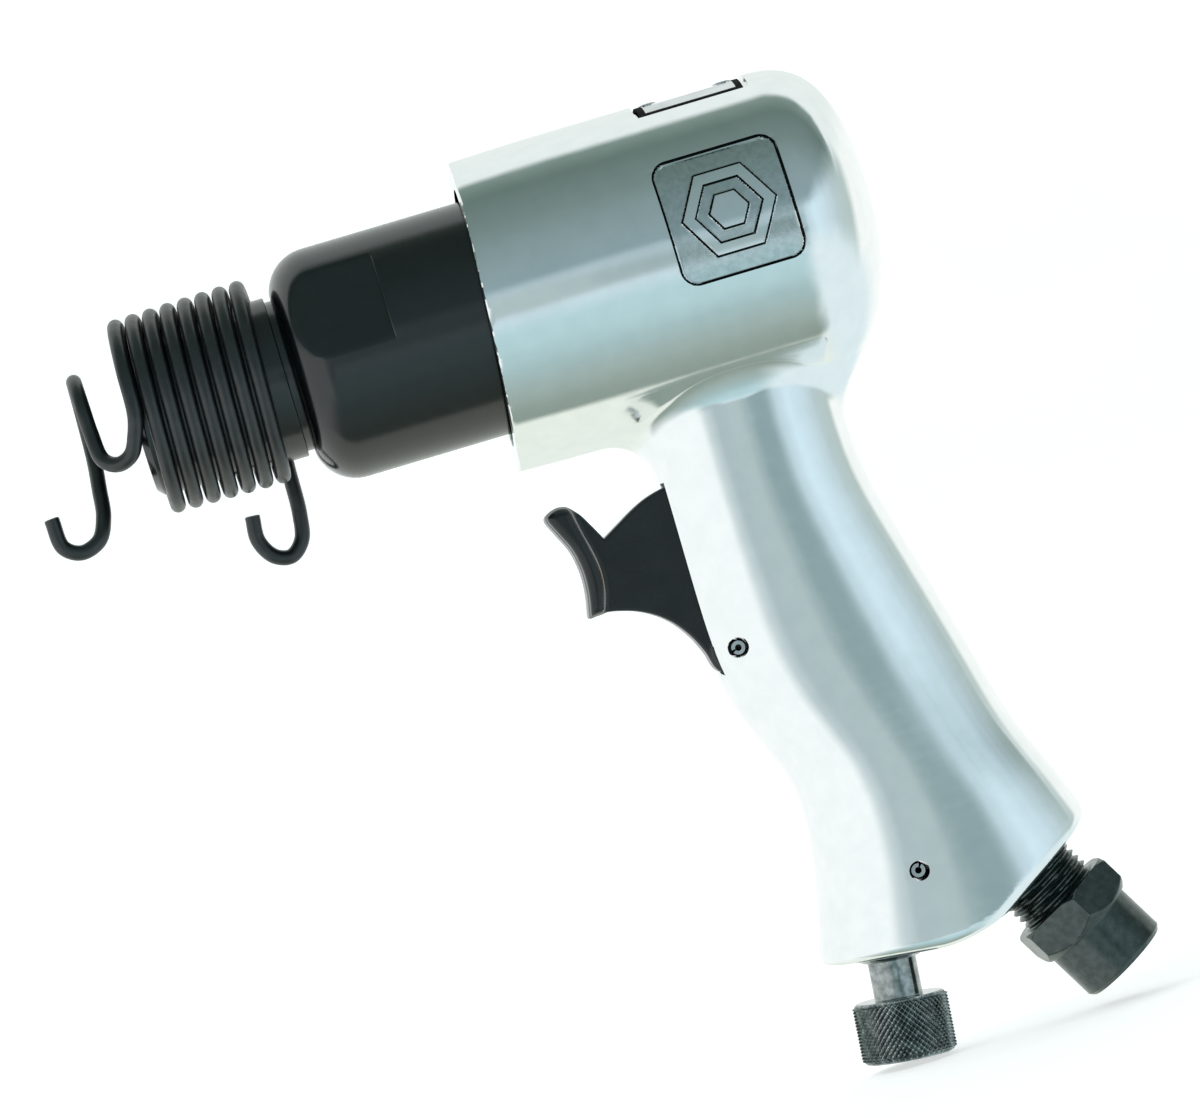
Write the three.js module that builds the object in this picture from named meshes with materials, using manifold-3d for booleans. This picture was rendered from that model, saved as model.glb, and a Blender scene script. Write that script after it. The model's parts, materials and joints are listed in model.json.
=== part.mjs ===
// A pneumatic air hammer: cast pistol-grip housing, screwed-in steel barrel with its piston and valve
// stack, open coil retainer spring, trigger-worked throttle valve, air regulator and inlet bushing.
// Millimetres. The barrel lies along X with its nose at -X, the grip hangs down -Z, and XZ is the
// plane of symmetry. While it is built, X = 0 is where the barrel axis leaves the housing's front face
// and Z = 0 is that axis; the last lines move the origin to the middle of the bounding box.
import * as THREE from "three";
import { mergeVertices } from "three/addons/utils/BufferGeometryUtils.js";
import Module from "manifold-3d";

const wasm = await Module();
wasm.setup();

// ---- driving dimensions -------------------------------------------------------------------------

const GAP = 0.3; // between touching pieces
const OVERRUN = 6; // how far a cutter runs past what it cuts
const DEGREE = Math.PI / 180;

const BORE_RADIUS = 9.525; // three-quarter inch piston bore
const SHANK_RADIUS = 5.2; // chisel shank socket
const PISTON_LENGTH = 30;

const BARREL = {
  radius: 21.3,
  neck: 14.8,
  thread: 20,
  noseX: -65,
  boreFrontX: -38,
  shoulderX: -28,
  shoulderRound: 8,
  threadX: 12,
  rearX: 36,
  grooveDepth: 0.9,
  grooveWidth: 1.2,
};

const FLAT = { across: 38.9, frontX: -31.5, rearX: -16.7, tilt: 25 };

const HOUSING = {
  radius: 28.8,
  frontRadius: 28.3,
  slant: 3.6,
  fullX: 20, // where the case has reached its full radius
  domeX: 55,
  domeLength: 17.7,
  domeUpper: 3, // superellipse exponents of the dome's profile
  domeLower: 2,
  mouthRadius: 23.6,
  stepX: 53.7,
  chamberRadius: 15,
  chamberX: 60,
};

const BADGE = { x: 45.85, z: 4.9, side: 23, corner: 3.2, depth: 0.9, raised: 0.6, outer: 8.2, inner: 5.2 };
const PLATE = { frontX: 36.6, length: 19.2, halfAngle: 25, thickness: 0.6, recess: 1.3, border: 1 };
const RIVET = { inset: 2.6, shank: 0.9, head: 1.7, headTop: 1, headHeight: 0.4, length: 3.2 };

// The stack clamped between the barrel and the housing's inner step, each piece GAP from the next.
const STACK = {
  block: 7,
  cap: 6.7,
  washer: 1.5,
  gasket: 1,
  disc: 1,
  travel: 1.2,
  radius: 19.8,
  dowel: 1.5,
  dowelRise: 15.5,
  port: 2,
  portSpread: 13.5,
};
const BLOCK_X = BARREL.rearX + GAP;
const CAP_X = BLOCK_X + STACK.block + GAP;
const WASHER_X = CAP_X + STACK.cap + GAP;
const GASKET_X = WASHER_X + STACK.washer + GAP;
const DISC_X = CAP_X + GAP;

const THROTTLE_Z = -52; // height of the throttle valve's axis
const TRIGGER_PIN = { x: 26.3, z: -69.7, radius: 1.5, halfLength: 10.7 };
const SLOT = { halfWidth: 6.2, rearX: 30, topZ: -37.2, bottomZ: -75.2 };
const TRIGGER = { bladeHalf: 8.2, webHalf: 5.2, hub: 4.4 };
const BUSHING = { fromX: 30.3, toX: 42.5, radius: 6.2, bore: 2.2, flow: 3.8, sealX: 32 };

const REGULATOR = {
  x: 37.4, // where its axis leaves the grip's base
  z: -131,
  lean: 5.5, // degrees from vertical, foot towards the nose
  body: 7,
  stem: 4.4,
  knob: 8.75,
  seals: [-3.4, -20.4], // its O-rings, along its axis from the grip's base
  pinOffset: 6.7,
  pinRise: 14.9,
};

const INLET = {
  x: 66.2,
  z: -124,
  slope: 60,
  thread: 8,
  acrossCorners: 22.6,
  hexFrom: 6.7,
  hexTo: 13.5,
  hexTurn: 5,
  collar: 8.9,
  bore: 6.8,
  end: 23.4,
};

const SPRING = { wire: 1.4, turns: 8, pitch: 3.257, radius: 17.3, rearX: -41, lift: 0.4, taper: 0.975 };
const LOOP = { radius: 9.9, x: -73.2, drift: 1.4, sweep: 205 }; // the spring's front loop

// ---- shape helpers ------------------------------------------------------------------------------

// A closed geometry as a solid that can be joined and cut.
function solid(geometry) {
  const bare = geometry.clone();
  bare.deleteAttribute("normal");
  bare.deleteAttribute("uv");
  const merged = mergeVertices(bare, 1e-4);
  return new wasm.Manifold(
    new wasm.Mesh({
      numProp: 3,
      vertProperties: merged.attributes.position.array,
      triVerts: new Uint32Array(merged.index.array),
    }),
  );
}

// A solid back as a geometry.
function geometryOf(manifold) {
  const mesh = manifold.getMesh();
  const geometry = new THREE.BufferGeometry();
  geometry.setAttribute("position", new THREE.BufferAttribute(mesh.vertProperties, 3));
  geometry.setIndex(new THREE.BufferAttribute(mesh.triVerts, 1));
  geometry.computeVertexNormals();
  return geometry;
}

// A profile of [x, radius] points turned about X. The points run from the nose outside and back inside.
function turned(profile, segments = 24) {
  const points = profile.map(([x, radius]) => new THREE.Vector2(radius, x));
  return new THREE.LatheGeometry(points, segments).rotateZ(-Math.PI / 2);
}

function rod(fromX, toX, radius, segments = 24) {
  return turned([[fromX, 0], [fromX, radius], [toX, radius], [toX, 0]], segments);
}

function ring(fromX, toX, inner, outer, segments = 24) {
  return turned([[fromX, inner], [fromX, outer], [toX, outer], [toX, inner], [fromX, inner]], segments);
}

// A round-section ring about X.
function oRing(x, radius, wire, segments = 20) {
  return new THREE.TorusGeometry(radius, wire, 6, segments).rotateY(Math.PI / 2).translate(x, 0, 0);
}

// A side-view outline in X and Z, given thickness across Y.
function plank(shape, halfWidth) {
  const options = { depth: 2 * halfWidth, bevelEnabled: false, curveSegments: 8 };
  const geometry = new THREE.ExtrudeGeometry(shape, options);
  return geometry.rotateX(Math.PI / 2).translate(0, halfWidth, 0);
}

function outline(points) {
  return new THREE.Shape(points.map(([x, z]) => new THREE.Vector2(x, z)));
}

// A regular polygon prism along X.
function prism(fromX, toX, acrossCorners, sides, turn = 0) {
  const geometry = new THREE.CylinderGeometry(acrossCorners / 2, acrossCorners / 2, toX - fromX, sides);
  return geometry.rotateZ(-Math.PI / 2).rotateX(turn).translate((fromX + toX) / 2, 0, 0);
}

// A rounded rectangle centred on x, z.
function roundedRectangle(x, z, width, height, corner) {
  const [w, h] = [width / 2, height / 2];
  const shape = new THREE.Shape();
  shape.absarc(x + w - corner, z + h - corner, corner, 0, Math.PI / 2);
  shape.absarc(x - w + corner, z + h - corner, corner, Math.PI / 2, Math.PI);
  shape.absarc(x - w + corner, z - h + corner, corner, Math.PI, 1.5 * Math.PI);
  shape.absarc(x + w - corner, z - h + corner, corner, 1.5 * Math.PI, 2 * Math.PI);
  return shape;
}

// A round wire through a list of points, or along a curve.
function wire(curve, radius, steps, sides = 8) {
  const section = new THREE.Shape().absarc(0, 0, radius, 0, 2 * Math.PI);
  curve.arcLengthDivisions = steps * 4;
  return new THREE.ExtrudeGeometry(section, { steps, extrudePath: curve, curveSegments: sides });
}

// Level superellipse sections, each [z, front x, back x, half width], skinned into one closed body.
function skin(stations, exponent, segments) {
  const positions = [];
  const faces = [];
  for (const [z, front, back, half] of stations) {
    for (let i = 0; i < segments; i++) {
      const angle = (i / segments) * 2 * Math.PI;
      const [c, s] = [Math.cos(angle), Math.sin(angle)];
      const reach = Math.pow(Math.abs(c), 2 / exponent) * Math.sign(c);
      const spread = Math.pow(Math.abs(s), 2 / exponent) * Math.sign(s);
      positions.push((front + back) / 2 + (reach * (back - front)) / 2, spread * half, z);
    }
  }
  const last = stations.length - 1;
  for (let row = 0; row < last; row++) {
    for (let i = 0; i < segments; i++) {
      const next = (i + 1) % segments;
      const [a, b] = [row * segments + i, row * segments + next];
      const [c, d] = [a + segments, b + segments];
      faces.push(a, c, b, b, c, d);
    }
  }
  for (let i = 1; i < segments - 1; i++) {
    faces.push(0, i, i + 1);
    faces.push(last * segments, last * segments + i + 1, last * segments + i);
  }
  const geometry = new THREE.BufferGeometry();
  geometry.setAttribute("position", new THREE.Float32BufferAttribute(positions, 3));
  geometry.setIndex(faces);
  return geometry;
}

const FINISH = {
  castAluminium: { color: 0xc4c9cb, roughness: 0.25, metalness: 1 },
  blackSteel: { color: 0x17191b, roughness: 0.45, metalness: 0.8 },
  groundSteel: { color: 0x8f9396, roughness: 0.3, metalness: 1 },
  fittingSteel: { color: 0x3c4442, roughness: 0.5, metalness: 0.8 },
  blackPlastic: { color: 0x0e1011, roughness: 0.3, metalness: 0 },
  rubber: { color: 0x0b0b0b, roughness: 0.9, metalness: 0 },
  brass: { color: 0xb08d4a, roughness: 0.35, metalness: 1 },
  plate: { color: 0xd5d8da, roughness: 0.35, metalness: 0.9 },
};

function part(name, geometry, finish) {
  const mesh = new THREE.Mesh(geometry, new THREE.MeshStandardMaterial(FINISH[finish]));
  mesh.name = name;
  return mesh;
}

// ---- frames of the slanted assemblies, each with its own axis along local X ------------------------

const throttle = new THREE.Group();
throttle.position.set(0, 0, THROTTLE_Z);

// Local +X runs down and out of the grip's base.
const regulator = new THREE.Group();
regulator.position.set(REGULATOR.x, 0, REGULATOR.z);
regulator.rotation.y = (90 + REGULATOR.lean) * DEGREE;

const inlet = new THREE.Group();
inlet.position.set(INLET.x, 0, INLET.z);
inlet.rotation.y = INLET.slope * DEGREE;

for (const group of [throttle, regulator, inlet]) group.updateMatrix();

// A cutter made in a group's frame, moved into the tool's frame.
function cutterIn(group, geometry) {
  return solid(geometry.applyMatrix4(group.matrix));
}

// ---- housing ------------------------------------------------------------------------------------

// The round case with its domed rear, which is squarer above the axis than below it.
function caseBody() {
  const { radius, frontRadius, fullX, domeX, domeLength, domeUpper, domeLower } = HOUSING;
  const rings = 8;
  const profile = [[-OVERRUN, 0], [-OVERRUN, frontRadius], [fullX, radius], [domeX, radius]];
  for (let i = 1; i <= rings; i++) {
    const angle = (i / rings) * (Math.PI / 2);
    profile.push([domeX + domeLength * Math.sin(angle), i < rings ? radius * Math.cos(angle) : 0]);
  }
  const geometry = turned(profile, 48);
  const place = geometry.attributes.position;
  for (let i = 0; i < place.count; i++) {
    const [y, z] = [place.getY(i), place.getZ(i)];
    const out = Math.hypot(y, z);
    const ahead = (place.getX(i) - domeX) / domeLength;
    if (ahead <= 0 || out < GAP) continue;
    const power = (domeUpper + domeLower) / 2 + (((domeUpper - domeLower) / 2) * z) / out;
    const stretch = Math.pow(Math.pow(ahead, power) + Math.pow(out / radius, power), -1 / power);
    place.setXYZ(i, domeX + ahead * stretch * domeLength, y * stretch, z * stretch);
  }
  return solid(geometry);
}

function gripBody() {
  const stations = [
    [-10, 16, 66, 17],
    [-22, 13.5, 65, 16.5],
    [-28, 15, 61.8, 16],
    [-32, 19.8, 59.4, 15.8],
    [-37, 21.5, 57.8, 15.6],
    [-45, 21.4, 57.9, 15.5],
    [-55, 21.2, 59.9, 15.4],
    [-65, 21.3, 62.5, 15.4],
    [-75, 22.2, 65.1, 15.4],
    [-85, 25.2, 67.7, 15.6],
    [-95, 28.9, 70.5, 16],
    [-105, 29.5, 74.3, 16.4],
    [-112, 28.8, 77, 16.6],
    [-134, 24.4, 84.6, 16.6],
  ];
  const side = outline([
    [5, -5],
    [5, -30],
    [19, -30.4],
    [21, -60],
    [24, -82.2],
    [29.4, -97],
    [28.7, -112.5],
    [25.7, -126.5],
    [26.5, -128.7],
    [33, -130.2],
    [41, -131],
    [50, -131],
    [57, -128.8],
    [66, -124.1],
    [75.5, -117.4],
    [77.4, -114.2],
    [90, -70],
    [90, -5],
  ]);
  return solid(skin(stations, 2.6, 24)).intersect(solid(plank(side, 24)));
}

function badgeCuts() {
  const square = roundedRectangle(BADGE.x, BADGE.z, BADGE.side, BADGE.side, BADGE.corner);
  const floor = solid(rod(0, 80, HOUSING.radius - BADGE.depth, 48));
  const near = solid(new THREE.BoxGeometry(80, 40, 80).translate(40, -30, 0));
  const window = solid(plank(square, 40)).intersect(near).subtract(floor);
  const hexagon = new THREE.Shape();
  const hole = new THREE.Path();
  for (const [path, radius] of [[hexagon, BADGE.outer], [hole, BADGE.inner]]) {
    for (let i = 0; i < 6; i++) {
      const angle = (i / 6) * 2 * Math.PI;
      path[i ? "lineTo" : "moveTo"](BADGE.x + radius * Math.cos(angle), BADGE.z + radius * Math.sin(angle));
    }
  }
  hexagon.holes.push(hole);
  const floorRadius = HOUSING.radius - BADGE.depth;
  const face = solid(ring(0, 80, floorRadius - 1, floorRadius + BADGE.raised, 48));
  return { window, emblem: solid(plank(hexagon, 40)).intersect(near).intersect(face) };
}

function plateSector(inner, outer, halfAngle, fromX, length) {
  const [start, end] = [Math.PI / 2 - halfAngle * DEGREE, Math.PI / 2 + halfAngle * DEGREE];
  const shape = new THREE.Shape();
  shape.absarc(0, 0, outer, start, end);
  shape.absarc(0, 0, inner, end, start, true);
  const options = { depth: length, bevelEnabled: false, curveSegments: 10 };
  const geometry = new THREE.ExtrudeGeometry(shape, options);
  return geometry.rotateY(Math.PI / 2).rotateX(Math.PI / 2).translate(fromX, 0, 0);
}

function makeHousing() {
  const slant = new THREE.BoxGeometry(40, 80, 80).translate(-20, 0, 0).rotateY(HOUSING.slant * DEGREE);
  let body = caseBody().subtract(solid(slant)).add(gripBody());

  const seat = solid(rod(BARREL.threadX - 1, HOUSING.stepX, BARREL.thread + GAP, 32));
  const mouth = solid(rod(-12, BARREL.threadX + GAP, HOUSING.mouthRadius, 32));
  const chamber = solid(rod(HOUSING.stepX - 1, HOUSING.chamberX, HOUSING.chamberRadius, 32));
  body = body.subtract(seat).subtract(mouth).subtract(chamber);

  const slot = outline([
    [5, SLOT.topZ],
    [5, SLOT.bottomZ],
    [SLOT.rearX + 1.6, SLOT.bottomZ],
    [SLOT.rearX + 1.6, -63],
    [SLOT.rearX, -60],
    [SLOT.rearX, SLOT.topZ],
  ]);
  body = body.subtract(solid(plank(slot, SLOT.halfWidth)));
  body = body.subtract(cutterIn(throttle, rod(SLOT.rearX - 1, 53, 6.5)));

  // Air ways: throttle to the chamber behind the valve, regulator up to the throttle, inlet across.
  body = body.subtract(airWay(35.5, -47, 59, -14, 3));
  body = body.subtract(cutterIn(regulator, rod(-25, OVERRUN, REGULATOR.body + GAP)));
  body = body.subtract(cutterIn(regulator, rod(-75, -20, 4.5, 16)));
  body = body.subtract(cutterIn(inlet, rod(-15, OVERRUN, INLET.thread + GAP)));
  body = body.subtract(airWay(59.5, -112.5, 41.5, -102.5, 4));

  const pinHole = new THREE.CylinderGeometry(TRIGGER_PIN.radius + GAP, TRIGGER_PIN.radius + GAP, 50, 16);
  body = body.subtract(solid(pinHole.clone().translate(TRIGGER_PIN.x, 0, TRIGGER_PIN.z)));
  const besideValve = pinHole.clone().translate(-REGULATOR.pinRise, 0, REGULATOR.pinOffset);
  body = body.subtract(cutterIn(regulator, besideValve));

  const { window, emblem } = badgeCuts();
  body = body.subtract(window).add(emblem);
  const { frontX, length, halfAngle, recess, border } = PLATE;
  const wider = halfAngle + border / HOUSING.radius / DEGREE;
  const top = HOUSING.radius + 2;
  const pocket = plateSector(HOUSING.radius - recess, top, wider, frontX - border, length + 2 * border);
  body = body.subtract(solid(pocket));
  for (const x of rivetPlaces()) body = body.subtract(solid(rivetHole(x)));
  return part("handle_housing", geometryOf(body), "castAluminium");
}

// A drilled way between two points of the middle plane.
function airWay(x1, z1, x2, z2, radius) {
  const way = new THREE.Group();
  way.position.set(x1, 0, z1);
  way.rotation.y = -Math.atan2(z2 - z1, x2 - x1);
  way.updateMatrix();
  return cutterIn(way, rod(0, Math.hypot(x2 - x1, z2 - z1), radius, 16));
}

// ---- barrel, piston and valve stack ----------------------------------------------------------------

function makeBarrel() {
  const { radius, neck, thread, noseX, boreFrontX, shoulderX, shoulderRound } = BARREL;
  const { threadX, rearX, grooveDepth, grooveWidth } = BARREL;
  const centre = radius - shoulderRound;
  const startAngle = Math.asin((neck - centre) / shoulderRound);
  const shoulder = [];
  for (let i = 0; i <= 6; i++) {
    const angle = startAngle + (i / 6) * (Math.PI / 2 - startAngle);
    shoulder.push([shoulderX - shoulderRound * Math.cos(angle), centre + shoulderRound * Math.sin(angle)]);
  }
  const grooveX = shoulder[0][0] - grooveWidth;
  const profile = [
    [noseX, SHANK_RADIUS + 1],
    [noseX, neck - 1.8],
    [noseX + 1.2, neck - 0.6],
    [SPRING.rearX + 1, neck],
    [grooveX, neck],
    [grooveX, neck - grooveDepth],
    [shoulder[0][0], neck - grooveDepth],
    ...shoulder,
    [threadX - 1, radius],
    [threadX, thread],
    [rearX, thread],
    [rearX, BORE_RADIUS],
    [boreFrontX, BORE_RADIUS],
    [boreFrontX, SHANK_RADIUS],
    [noseX + 1, SHANK_RADIUS],
    [noseX, SHANK_RADIUS + 1],
  ];
  let body = solid(turned(profile, 32));
  const { across, frontX, rearX: flatRearX, tilt } = FLAT;
  for (const side of [-1, 1]) {
    const slab = new THREE.BoxGeometry(flatRearX - frontX, 10, 40);
    slab.translate((frontX + flatRearX) / 2, side * (across / 2 + 5), 0).rotateX(-tilt * DEGREE);
    body = body.subtract(solid(slab));
  }
  return part("barrel", geometryOf(body), "blackSteel");
}

function makePiston() {
  const rear = BARREL.rearX - 0.5;
  const front = rear - PISTON_LENGTH;
  const radius = BORE_RADIUS - 0.25;
  const profile = [
    [front, 0],
    [front, radius - 1.8],
    [front + 2, radius],
    [rear - 1, radius],
    [rear, radius - 1],
    [rear, 0],
  ];
  return part("piston", turned(profile, 32), "groundSteel");
}

function dowelHole(side, fromX, toX) {
  return solid(rod(fromX, toX, STACK.dowel + GAP, 12).translate(0, 0, side * STACK.dowelRise));
}

function makeValveStack() {
  const { block, cap, washer, gasket, disc, travel, radius, dowel, dowelRise, port, portSpread } = STACK;
  let blockBody = solid(ring(BLOCK_X, BLOCK_X + block, 4, radius));
  let capBody = solid(ring(CAP_X, CAP_X + cap, 2.5, radius));
  capBody = capBody.subtract(solid(rod(CAP_X - 1, DISC_X + disc + travel + GAP, 9)));
  for (const side of [-1, 1]) {
    blockBody = blockBody.subtract(dowelHole(side, BLOCK_X + 2, BLOCK_X + block + 1));
    capBody = capBody.subtract(dowelHole(side, CAP_X - 1, CAP_X + cap - 2));
    // Ports that feed the forward side of the piston, either side of the dowels.
    const feed = rod(BLOCK_X - 1, CAP_X + 1, port, 12).translate(0, side * portSpread, 0);
    blockBody = blockBody.subtract(solid(feed));
  }
  const washerProfile = [
    [WASHER_X + washer - 0.6, 12],
    [WASHER_X, 19],
    [WASHER_X + 0.6, 19],
    [WASHER_X + washer, 12],
    [WASHER_X + washer - 0.6, 12],
  ];
  const dowels = [-1, 1].map((side) => {
    const geometry = rod(BLOCK_X + 2 + GAP, CAP_X + cap - 2 - GAP, dowel, 12);
    const name = side > 0 ? "valve_dowel_upper" : "valve_dowel_lower";
    return part(name, geometry.translate(0, 0, side * dowelRise), "groundSteel");
  });
  return [
    part("valve_block", geometryOf(blockBody), "groundSteel"),
    part("valve_cap", geometryOf(capBody), "groundSteel"),
    part("valve_disc", ring(DISC_X, DISC_X + disc, 1.5, 8), "groundSteel"),
    part("valve_spring_washer", turned(washerProfile), "groundSteel"),
    part("chamber_gasket", ring(GASKET_X, GASKET_X + gasket, 16, radius), "rubber"),
    ...dowels,
  ];
}

// ---- retainer spring --------------------------------------------------------------------------------

// A left-hand coil about the barrel's nose. Its rear end hangs down on the far side as a hook; its
// front end makes a loop round the chisel shank and ends in a finger hook below.
function makeRetainerSpring() {
  const { wire: wireRadius, turns, pitch, radius, rearX, lift, taper } = SPRING;
  const perTurn = 12;
  const points = [];
  const add = (x, y, z) => points.push(new THREE.Vector3(x, y, z));

  add(-50.2, 14.4, -22);
  add(-50.4, 14.6, -26.5);
  add(-48.4, 14.9, -30);
  add(-45.4, 15.3, -30.9);
  add(-42.8, 15.8, -28.6);
  add(-41.8, 16.2, -24);
  add(-41.4, 16.8, -14);
  for (let i = -3; i <= (turns - 1) * perTurn + 3; i++) {
    const progress = Math.max(i, 0) / (perTurn * (turns - 1));
    const reach = radius * (1 + (taper - 1) * progress);
    const angle = (i / perTurn) * 2 * Math.PI;
    add(rearX - (pitch * i) / perTurn, -reach * Math.sin(angle), lift + reach * Math.cos(angle));
  }
  add(-65.6, -16.1, -3);
  add(-67.2, -15, -6);
  add(-69.9, -13.4, -7);
  add(-72.4, -11.7, -5.4);
  for (let i = 0; i <= 8; i++) {
    const angle = (i / 8) * LOOP.sweep * DEGREE;
    add(LOOP.x - (LOOP.drift * i) / 8, -LOOP.radius * Math.cos(angle), LOOP.radius * Math.sin(angle));
  }
  add(-75.1, 5.4, -9.8);
  add(-75.7, 2.6, -14.8);
  add(-77.6, 1, -18.6);
  add(-81.2, 0.2, -19.8);
  add(-84.2, 0, -18);
  add(-84.8, 0, -12.6);
  const curve = new THREE.CatmullRomCurve3(points, false, "centripetal");
  return part("retainer_spring", wire(curve, wireRadius, 180, 3), "blackSteel");
}

// ---- trigger and throttle ---------------------------------------------------------------------------

function makeTrigger() {
  const { x, z, radius } = TRIGGER_PIN;
  const side = outline([
    [0.3, -38.2],
    [1.2, -37.2],
    [2.8, -36.8],
    [4.6, -37.3],
    [6.2, -38.8],
    [7.6, -41.2],
    [9.2, -44.2],
    [12, -42.6],
    [15, -40.9],
    [18, -39.5],
    [21.2, -38.6],
    [24.4, -38.2],
    [24, -50],
    [24.2, -51.2],
    [24.2, -52.8],
    [24, -54],
    [26.4, -62],
    [28.5, -65.6],
    [30.6, -68],
    [30.9, -70.5],
    [29.6, -73],
    [27, -74.3],
    [24, -73.9],
    [21.8, -72.3],
    [20.8, -69],
    [19.2, -65.6],
    [17, -62.5],
    [14.4, -60.2],
    [11.4, -58.5],
    [8, -57.4],
    [5, -56.9],
    [2.9, -57],
    [3.7, -52.5],
    [3.8, -48.5],
    [3.1, -44.6],
    [1.5, -41],
  ]);
  const blade = outline([
    [-1, -36],
    [5, -36],
    [5.4, -42],
    [6.8, -48],
    [6.6, -53],
    [5, -58],
    [-1, -58],
  ]);
  const { bladeHalf, webHalf, hub } = TRIGGER;
  let body = solid(plank(side, bladeHalf)).intersect(solid(plank(blade, bladeHalf + 1)));
  body = body.add(solid(plank(side, webHalf)));
  const eye = new THREE.CylinderGeometry(hub, hub, 2 * (SLOT.halfWidth - GAP), 16).translate(x, 0, z);
  const hole = new THREE.CylinderGeometry(radius + GAP, radius + GAP, 40, 16).translate(x, 0, z);
  body = body.add(solid(eye)).subtract(solid(hole));
  return part("trigger", geometryOf(body), "blackPlastic");
}

function makeTriggerPin() {
  const { x, z, radius, halfLength } = TRIGGER_PIN;
  const pin = new THREE.CylinderGeometry(radius, radius, 2 * halfLength, 16).translate(x, 0, z);
  return part("trigger_pin", pin, "groundSteel");
}

function fillThrottle() {
  const { fromX, toX, radius, bore, flow, sealX } = BUSHING;
  const profile = [
    [fromX, bore],
    [fromX, radius],
    [sealX - 0.9, radius],
    [sealX - 0.9, radius - 1.6],
    [sealX + 0.9, radius - 1.6],
    [sealX + 0.9, radius],
    [33.8, radius],
    [33.8, 5],
    [37.8, 5],
    [37.8, radius],
    [toX, radius],
    [toX, flow],
    [33.9, flow],
    [33.9, bore],
    [fromX, bore],
  ];
  const port = new THREE.CylinderGeometry(1.4, 1.4, 14, 12).rotateX(Math.PI / 2).translate(35.8, 0, 0);
  const bushing = solid(turned(profile)).subtract(solid(port));
  const seat = toX + GAP;
  const stem = [
    [24.6, 0],
    [24.6, 1.5],
    [25, 1.9],
    [seat + 1 + GAP, 1.9],
    [seat + 1 + GAP, 5.3],
    [seat + 3.4, 5.3],
    [seat + 3.4, 2.8],
    [seat + 6.4, 2.8],
    [seat + 6.4, 0],
  ];
  const coil = [];
  const turns = 4;
  for (let i = 0; i <= turns * 8; i++) {
    const angle = (i / 8) * 2 * Math.PI;
    const x = 46.9 + (5.4 * i) / (turns * 8);
    coil.push(new THREE.Vector3(x, 4.1 * Math.cos(angle), 4.1 * Math.sin(angle)));
  }
  const coilCurve = new THREE.CatmullRomCurve3(coil, false, "centripetal");
  throttle.add(
    part("throttle_bushing", geometryOf(bushing), "brass"),
    part("bushing_o_ring", oRing(sealX, 5.55, 0.6), "rubber"),
    part("throttle_washer", ring(seat, seat + 1, bore, 5.3), "rubber"),
    part("throttle_plunger", turned(stem, 16), "groundSteel"),
    part("throttle_spring", wire(coilCurve, 0.4, 48, 3), "groundSteel"),
  );
}

// ---- regulator and inlet ----------------------------------------------------------------------------

function fillRegulator() {
  const { body, stem, knob, seals, pinOffset, pinRise } = REGULATOR;
  const groove = 4.9;
  const sealGroove = body - 1.6;
  const grooved = (x) => [[x - 0.9, body], [x - 0.9, sealGroove], [x + 0.9, sealGroove], [x + 0.9, body]];
  const profile = [
    [-33, 0],
    [-33, 2.6],
    [-31, 3.6],
    [-24, 3.6],
    [-23.2, body],
    ...grooved(seals[1]),
    [-pinRise - 2.1, body],
    [-pinRise - 2.1, groove],
    [-pinRise + 2.1, groove],
    [-pinRise + 2.1, body],
    ...grooved(seals[0]),
    [-0.4, body],
    [0.6, stem + 0.6],
    [0.6, stem],
    [7.5, stem],
    [7.5, knob - 1],
    [8.5, knob],
    [17.6, knob],
    [18.6, knob - 1],
    [18.6, 0],
  ];
  regulator.add(part("regulator_screw", turned(profile), "blackSteel"));
  const names = ["regulator_o_ring_lower", "regulator_o_ring_upper"];
  names.forEach((name, i) => regulator.add(part(name, oRing(seals[i], body - 0.7, 0.6), "rubber")));
  const pin = new THREE.CylinderGeometry(TRIGGER_PIN.radius, TRIGGER_PIN.radius, 27.6, 16);
  regulator.add(part("regulator_pin", pin.translate(-pinRise, 0, pinOffset), "groundSteel"));
}

function fillInlet() {
  const { thread, acrossCorners, hexFrom, hexTo, hexTurn, collar, bore, end } = INLET;
  const flats = solid(prism(hexFrom, hexTo, acrossCorners, 6, hexTurn * DEGREE));
  const corners = solid(
    turned([
      [hexFrom - 1, 0],
      [hexFrom - 1, 9.2],
      [hexFrom, 10.4],
      [hexFrom + 1, 11.5],
      [hexTo - 2.2, 11.5],
      [hexTo, 9.4],
      [hexTo + 1, 8.6],
      [hexTo + 1, 0],
    ]),
  );
  const tube = solid(rod(-12, hexFrom + 1, thread)).add(solid(rod(hexTo - 1, end, collar)));
  let body = flats.intersect(corners).add(tube);
  body = body.subtract(solid(rod(-5, end + 1, bore)));
  body = body.subtract(solid(rod(-13, -4, 4.6)));
  inlet.add(part("inlet_bushing", geometryOf(body), "fittingSteel"));
  inlet.add(part("inlet_screen", makeScreen(bore - GAP), "groundSteel"));
}

// A pressed cup of wire cloth at the bottom of the bushing's bore, with a bar across each way.
function makeScreen(radius) {
  let body = solid(ring(-4.6, -3, 4.9, radius));
  for (const turn of [0, 90]) {
    const bars = new THREE.BoxGeometry(0.6, 2 * radius - 1, 0.8).translate(-4.2, 0, 0);
    for (const offset of [-3, 0, 3]) {
      const bar = bars.clone().translate(0, 0, offset).rotateX(turn * DEGREE);
      body = body.add(solid(bar).intersect(solid(rod(-5, -3, radius - 0.1))));
    }
  }
  return geometryOf(body);
}

// ---- nameplate --------------------------------------------------------------------------------------

function rivetPlaces() {
  return [PLATE.frontX + RIVET.inset, PLATE.frontX + PLATE.length - RIVET.inset];
}

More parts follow.
